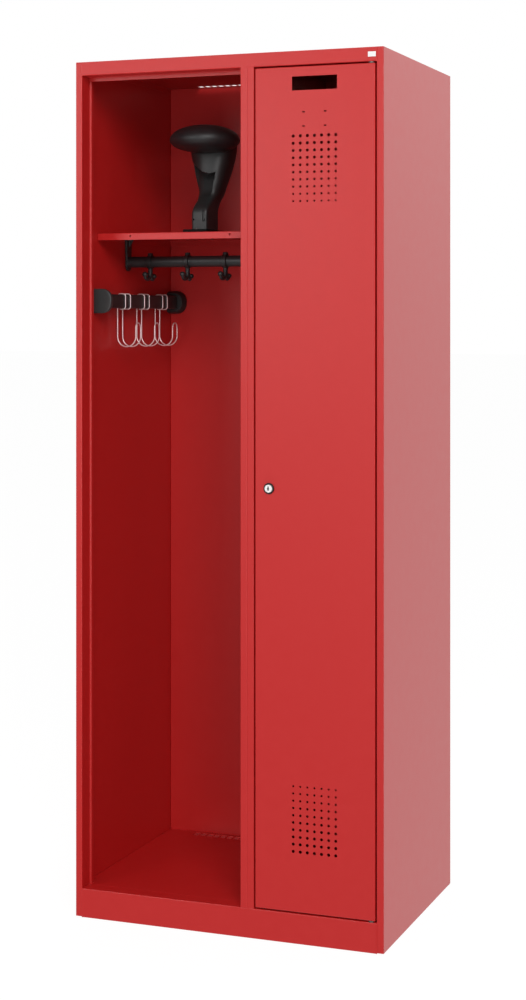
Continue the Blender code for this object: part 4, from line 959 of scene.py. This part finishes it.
def stem_section(share):
    """Middle in Y, half width, half depth and squareness of the stem at a share of its height."""
    rows = [STEM_SECTIONS[0], *STEM_SECTIONS, STEM_SECTIONS[-1]]
    for before, (s0, *first), (s1, *second), after in zip(rows, rows[1:], rows[2:], rows[3:]):
        if s1 > s0 and share <= s1:
            t = (share - s0) / (s1 - s0)
            values = []
            for i, (a, b) in enumerate(zip(first, second)):
                start = (b - before[i + 1]) / (s1 - before[0]) * (s1 - s0)
                end = (after[i + 1] - a) / (after[0] - s0) * (s1 - s0)
                values.append((2 * t ** 3 - 3 * t ** 2 + 1) * a + (t ** 3 - 2 * t ** 2 + t) * start
                              + (3 * t ** 2 - 2 * t ** 3) * b + (t ** 3 - t ** 2) * end)
            return values
    return list(STEM_SECTIONS[-1][1:])


def stand_pieces():
    pad_low, pad_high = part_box("helmet_stand_pad")
    pad_centre, pad_semi = (pad_low + pad_high) / 2, (pad_high - pad_low) / 2
    stem_low, stem_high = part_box("helmet_stand_stem")
    base_low, base_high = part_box("helmet_stand_base")
    centre_x = (base_low.x + base_high.x) / 2
    pad_piece(pad_centre, pad_semi)
    base_piece(base_low, base_high)
    stem_piece(centre_x, stem_low, stem_high, pad_centre, pad_semi)
    for label in ("front", "rear"):
        screw_piece(f"stand_bolt_{label}", f"helmet_stand_screw_{label}", Z, 0.0045, 0.0028, 0.0024)


def pad_piece(centre, semi):
    """A domed cushion, flatter above than below, with a soft seam round its waist."""
    around, rows = 96, 48
    waist_z, dome = centre.z - 0.0055, 0.0350
    bm = bmesh.new()
    rings = []
    for row in range(1, rows):
        lift = -math.pi / 2 + math.pi * row / rows
        flat, height = math.cos(lift), math.sin(lift)
        seam = 1.0 - 0.010 * math.exp(-((height + 0.30) / 0.035) ** 2)
        rise = dome if height > 0 else semi.z + waist_z - centre.z
        ring = []
        for i in range(around):
            angle = 2 * math.pi * i / around
            bulk = max(0.0, math.cos(angle - 0.5)) * max(0.0, -height)
            reach = flat ** (0.96 - 0.42 * bulk) * seam
            ring.append((centre.x + semi.x * reach * math.cos(angle),
                         centre.y + semi.y * reach * math.sin(angle), waist_z + rise * height))
        rings.append(ring)
    loops = skin(bm, rings, cap=False)
    for loop, height in ((loops[0], -1), (loops[-1], 1)):
        pole_z = sum(v.co.z for v in loop) / around + height * 0.00003
        pole = bm.verts.new((centre.x, centre.y, pole_z))
        for i in range(around):
            bm.faces.new((loop[i], loop[(i + 1) % around], pole))
    piece_from(bm, "stand_cushion", "helmet_stand_pad", sharp=SOFT)


def base_piece(low, high):
    bm = bmesh.new()
    outline = rounded_rectangle((low.x, low.y), (high.x, high.y), 0.006, 8)
    skin(bm, [[(x, y, z) for x, y in outline] for z in (low.z, high.z)])
    bores = bmesh.new()
    for label in ("front", "rear"):
        screw = middle(f"helmet_stand_screw_{label}")
        rod(bores, Vector((screw.x, screw.y, (low.z + high.z) / 2)), 0.0028, 0.03, Z)
    plate = carved(bm, bores, "stand_foot_plate", "helmet_stand_base", bevel=(0.0012, 3, 50))
    # painted shade: the foot plate gets a darker black with a weaker sheen than the other black plastic, for
    # the shadow it sits in
    matt = moulded_plastic("shade_darkened_matt_plastic", (0.004, 0.004, 0.004), (0.007, 0.007, 0.007), 0.75)
    matt.node_tree.nodes["Principled BSDF"].inputs["Specular IOR Level"].default_value = 0.12
    plate.data.materials[0] = matt


def stem_piece(centre_x, low, high, pad_centre, pad_semi):
    """The stem: a square foot that leans back and flares into a neck, with a hollow down its front."""
    around, rows, gap = 128, 150, 0.0006
    room = pad_semi + Vector((gap, gap, gap))
    rings = []
    for row in range(rows + 1):
        share = row / rows
        middle_y, half_x, half_y, power = stem_section(share)
        ring = []
        for i in range(around):
            angle = 2 * math.pi * i / around
            c, s = math.cos(angle), math.sin(angle)
            lean = eased((share - 0.26) / 0.12) * eased(-s * 4)
            squareness = power - 0.45 * lean * max(0.0, -c) + 0.5 * lean * max(0.0, c)
            x = half_x * math.copysign(abs(c) ** (2 / squareness), c)
            y = half_y * math.copysign(abs(s) ** (2 / squareness), s)
            across = x / half_x
            if x < 0:
                x *= 1 + NECK_BULGE * eased((share - 0.44) / 0.22)
            if y < 0:
                y += hollow_depth(share, across) * min(1.0, -y / half_y * 1.4)
            point = Vector((centre_x + x, middle_y + y, low.z + (high.z - low.z) * share))
            flat = ((point.x - pad_centre.x) / room.x) ** 2 + ((point.y - pad_centre.y) / room.y) ** 2
            if flat < 1:
                point.z = min(point.z, pad_centre.z - room.z * math.sqrt(1 - flat))
            ring.append(point)
        rings.append(ring)
    bm = bmesh.new()
    skin(bm, rings)
    gaps = bmesh.new()
    screw = Vector((centre_x + FOOT_SCREW_X, FOOT_FACE_Y, low.z + FOOT_SCREW_Z))
    rod(gaps, screw, FOOT_SCREW_RADIUS, 0.016, Y, sides=24)
    right, front, behind = centre_x + FOOT_HALF, FOOT_FACE_Y - 0.004, FOOT_FACE_Y + 0.008
    for x0, x1, z0, z1 in CATCH_CUTS:
        block(gaps, (right - x0, front, low.z + z0), (right - x1, behind, low.z + z1))
    carved(bm, gaps, "stand_stem", "helmet_stand_stem", voxel=0.0003, sharp=60)


def eased(value):
    """A smooth step from 0 to 1."""
    t = min(max(value, 0.0), 1.0)
    return t * t * (3 - 2 * t)


def hollow_depth(share, across):
    """How far the stem's front is sunk: a pocket that deepens upwards to a brow that hangs like a tongue.

    Its right side is a crisp wall, and its left side fades out.
    """
    brow = 0.625 + 0.13 * (across - 0.16) ** 2
    rise = min(max((share - HOLLOW_START) / (brow - HOLLOW_START), 0.0), 1.0)
    sides = eased((0.50 - across) / 0.06) * eased((across + 1.15) / 0.3)
    return HOLLOW_DEPTH * rise * eased((brow - share) / 0.016) * sides


# -------- studio
WORLD_BASE = 0.36
WORLD_GLOWS = (
    # direction, the cosines where the glow starts and is full, and its strength
    ((0.29, 0.96, 0.0), 0.40, 0.95, 0.92),
    ((0.36, 0.93, 0.34), 0.93, 1.00, 0.72),
    ((0.0, 0.0, -1.0), 0.45, 0.95, 0.90),
)
LIGHTS = (
    # name, place, target, size, power, seen in reflections
    ("front_left_softbox", (-2.05, -4.3, 2.05), (0.0, -0.25, 1.4), (1.5, 1.0), 34, True),
    ("front_right_softbox", (3.25, -5.9, 4.75), (0.0, 0.0, 1.0), (3.0, 3.0), 285, True),
    ("front_low_fill", (0.9, -4.6, 0.9), (0.0, 0.0, 1.1), (2.0, 1.4), 33, True),
)


def area_light(name, place, target, size, power, in_reflections):
    light = bpy.data.lights.new(name, "AREA")
    light.shape = "RECTANGLE"
    light.size, light.size_y = size
    light.energy = power
    lamp = bpy.data.objects.new(name, light)
    bpy.context.scene.collection.objects.link(lamp)
    lamp.location = place
    lamp.rotation_euler = (Vector(target) - Vector(place)).to_track_quat("-Z", "Y").to_euler()
    lamp.visible_camera = False
    lamp.visible_glossy = in_reflections


def world_light():
    """White behind the object for the camera; for the light, a dim room with a bright wall behind."""
    world = bpy.data.worlds.new("studio")
    bpy.context.scene.world = world
    world.use_nodes = True
    nodes, links = world.node_tree.nodes, world.node_tree.links
    direction = nodes.new("ShaderNodeTexCoord").outputs["Generated"]
    total = None
    for aim, start, end, strength in WORLD_GLOWS:
        dot = nodes.new("ShaderNodeVectorMath")
        dot.operation = "DOT_PRODUCT"
        dot.inputs[1].default_value = Vector(aim).normalized()
        links.new(direction, dot.inputs[0])
        glow = nodes.new("ShaderNodeMapRange")
        glow.interpolation_type = "SMOOTHSTEP"
        for label, value in (("From Min", start), ("From Max", end), ("To Min", 0.0), ("To Max", strength)):
            glow.inputs[label].default_value = value
        links.new(dot.outputs["Value"], glow.inputs["Value"])
        add = nodes.new("ShaderNodeMath")
        links.new(glow.outputs["Result"], add.inputs[0])
        add.inputs[1].default_value = WORLD_BASE
        if total:
            links.new(total, add.inputs[1])
        total = add.outputs["Value"]
    mix = nodes.new("ShaderNodeMix")
    mix.data_type = "RGBA"
    mix.inputs[7].default_value = (1.0, 1.0, 1.0, 1.0)
    links.new(nodes.new("ShaderNodeLightPath").outputs["Is Camera Ray"], mix.inputs["Factor"])
    links.new(total, mix.inputs[6])
    links.new(mix.outputs[2], nodes["Background"].inputs["Color"])


FLOOR_HALF, FLOOR_DROP = 60, 0.0005


def studio():
    scene = bpy.context.scene
    scene.view_settings.view_transform = "Standard"
    scene.view_settings.look = "None"
    world_light()
    bm = bmesh.new()
    bmesh.ops.create_grid(bm, x_segments=1, y_segments=1, size=FLOOR_HALF)
    floor = bpy.data.objects.new("floor", mesh_of(bm, "floor"))
    scene.collection.objects.link(floor)
    pale = Finish("floor_paint", (0.10, 0.10, 0.10), 0.9)
    pale.set("Roughness", pale.spread(pale.noise(2.0), 0.85, 0.95))
    pale.surface.inputs["Specular IOR Level"].default_value = 0.0
    pale.surface.inputs["Emission Color"].default_value = (1.0, 1.0, 1.0, 1.0)
    pale.surface.inputs["Emission Strength"].default_value = 0.94
    floor.data.materials.append(pale.material)
    floor.location.z = -FLOOR_DROP
    floor.visible_glossy = floor.visible_diffuse = floor.visible_shadow = False
    for light in LIGHTS:
        area_light(*light)


def camera():
    data = bpy.data.cameras.new("photo_view")
    data.lens = 65.97
    data.sensor_width = 36.0
    data.shift_x = -0.047
    data.shift_y = -0.182
    eye = bpy.data.objects.new("photo_view", data)
    bpy.context.scene.collection.objects.link(eye)
    eye.location = (1.4927, -3.8033, 1.2966)
    eye.rotation_euler = (math.radians(90), 0.0, math.radians(20.128))
    bpy.context.scene.camera = eye


# -------- assembly
dress_cad_nodes()
joint_pieces()
door_sheet()
hinge_pieces()
buffer_pieces()
lock_pieces()
rail_pieces()
coat_hook_pieces()
side_rail_pieces()
wire_hook_pieces()
stand_pieces()
studio()
camera()
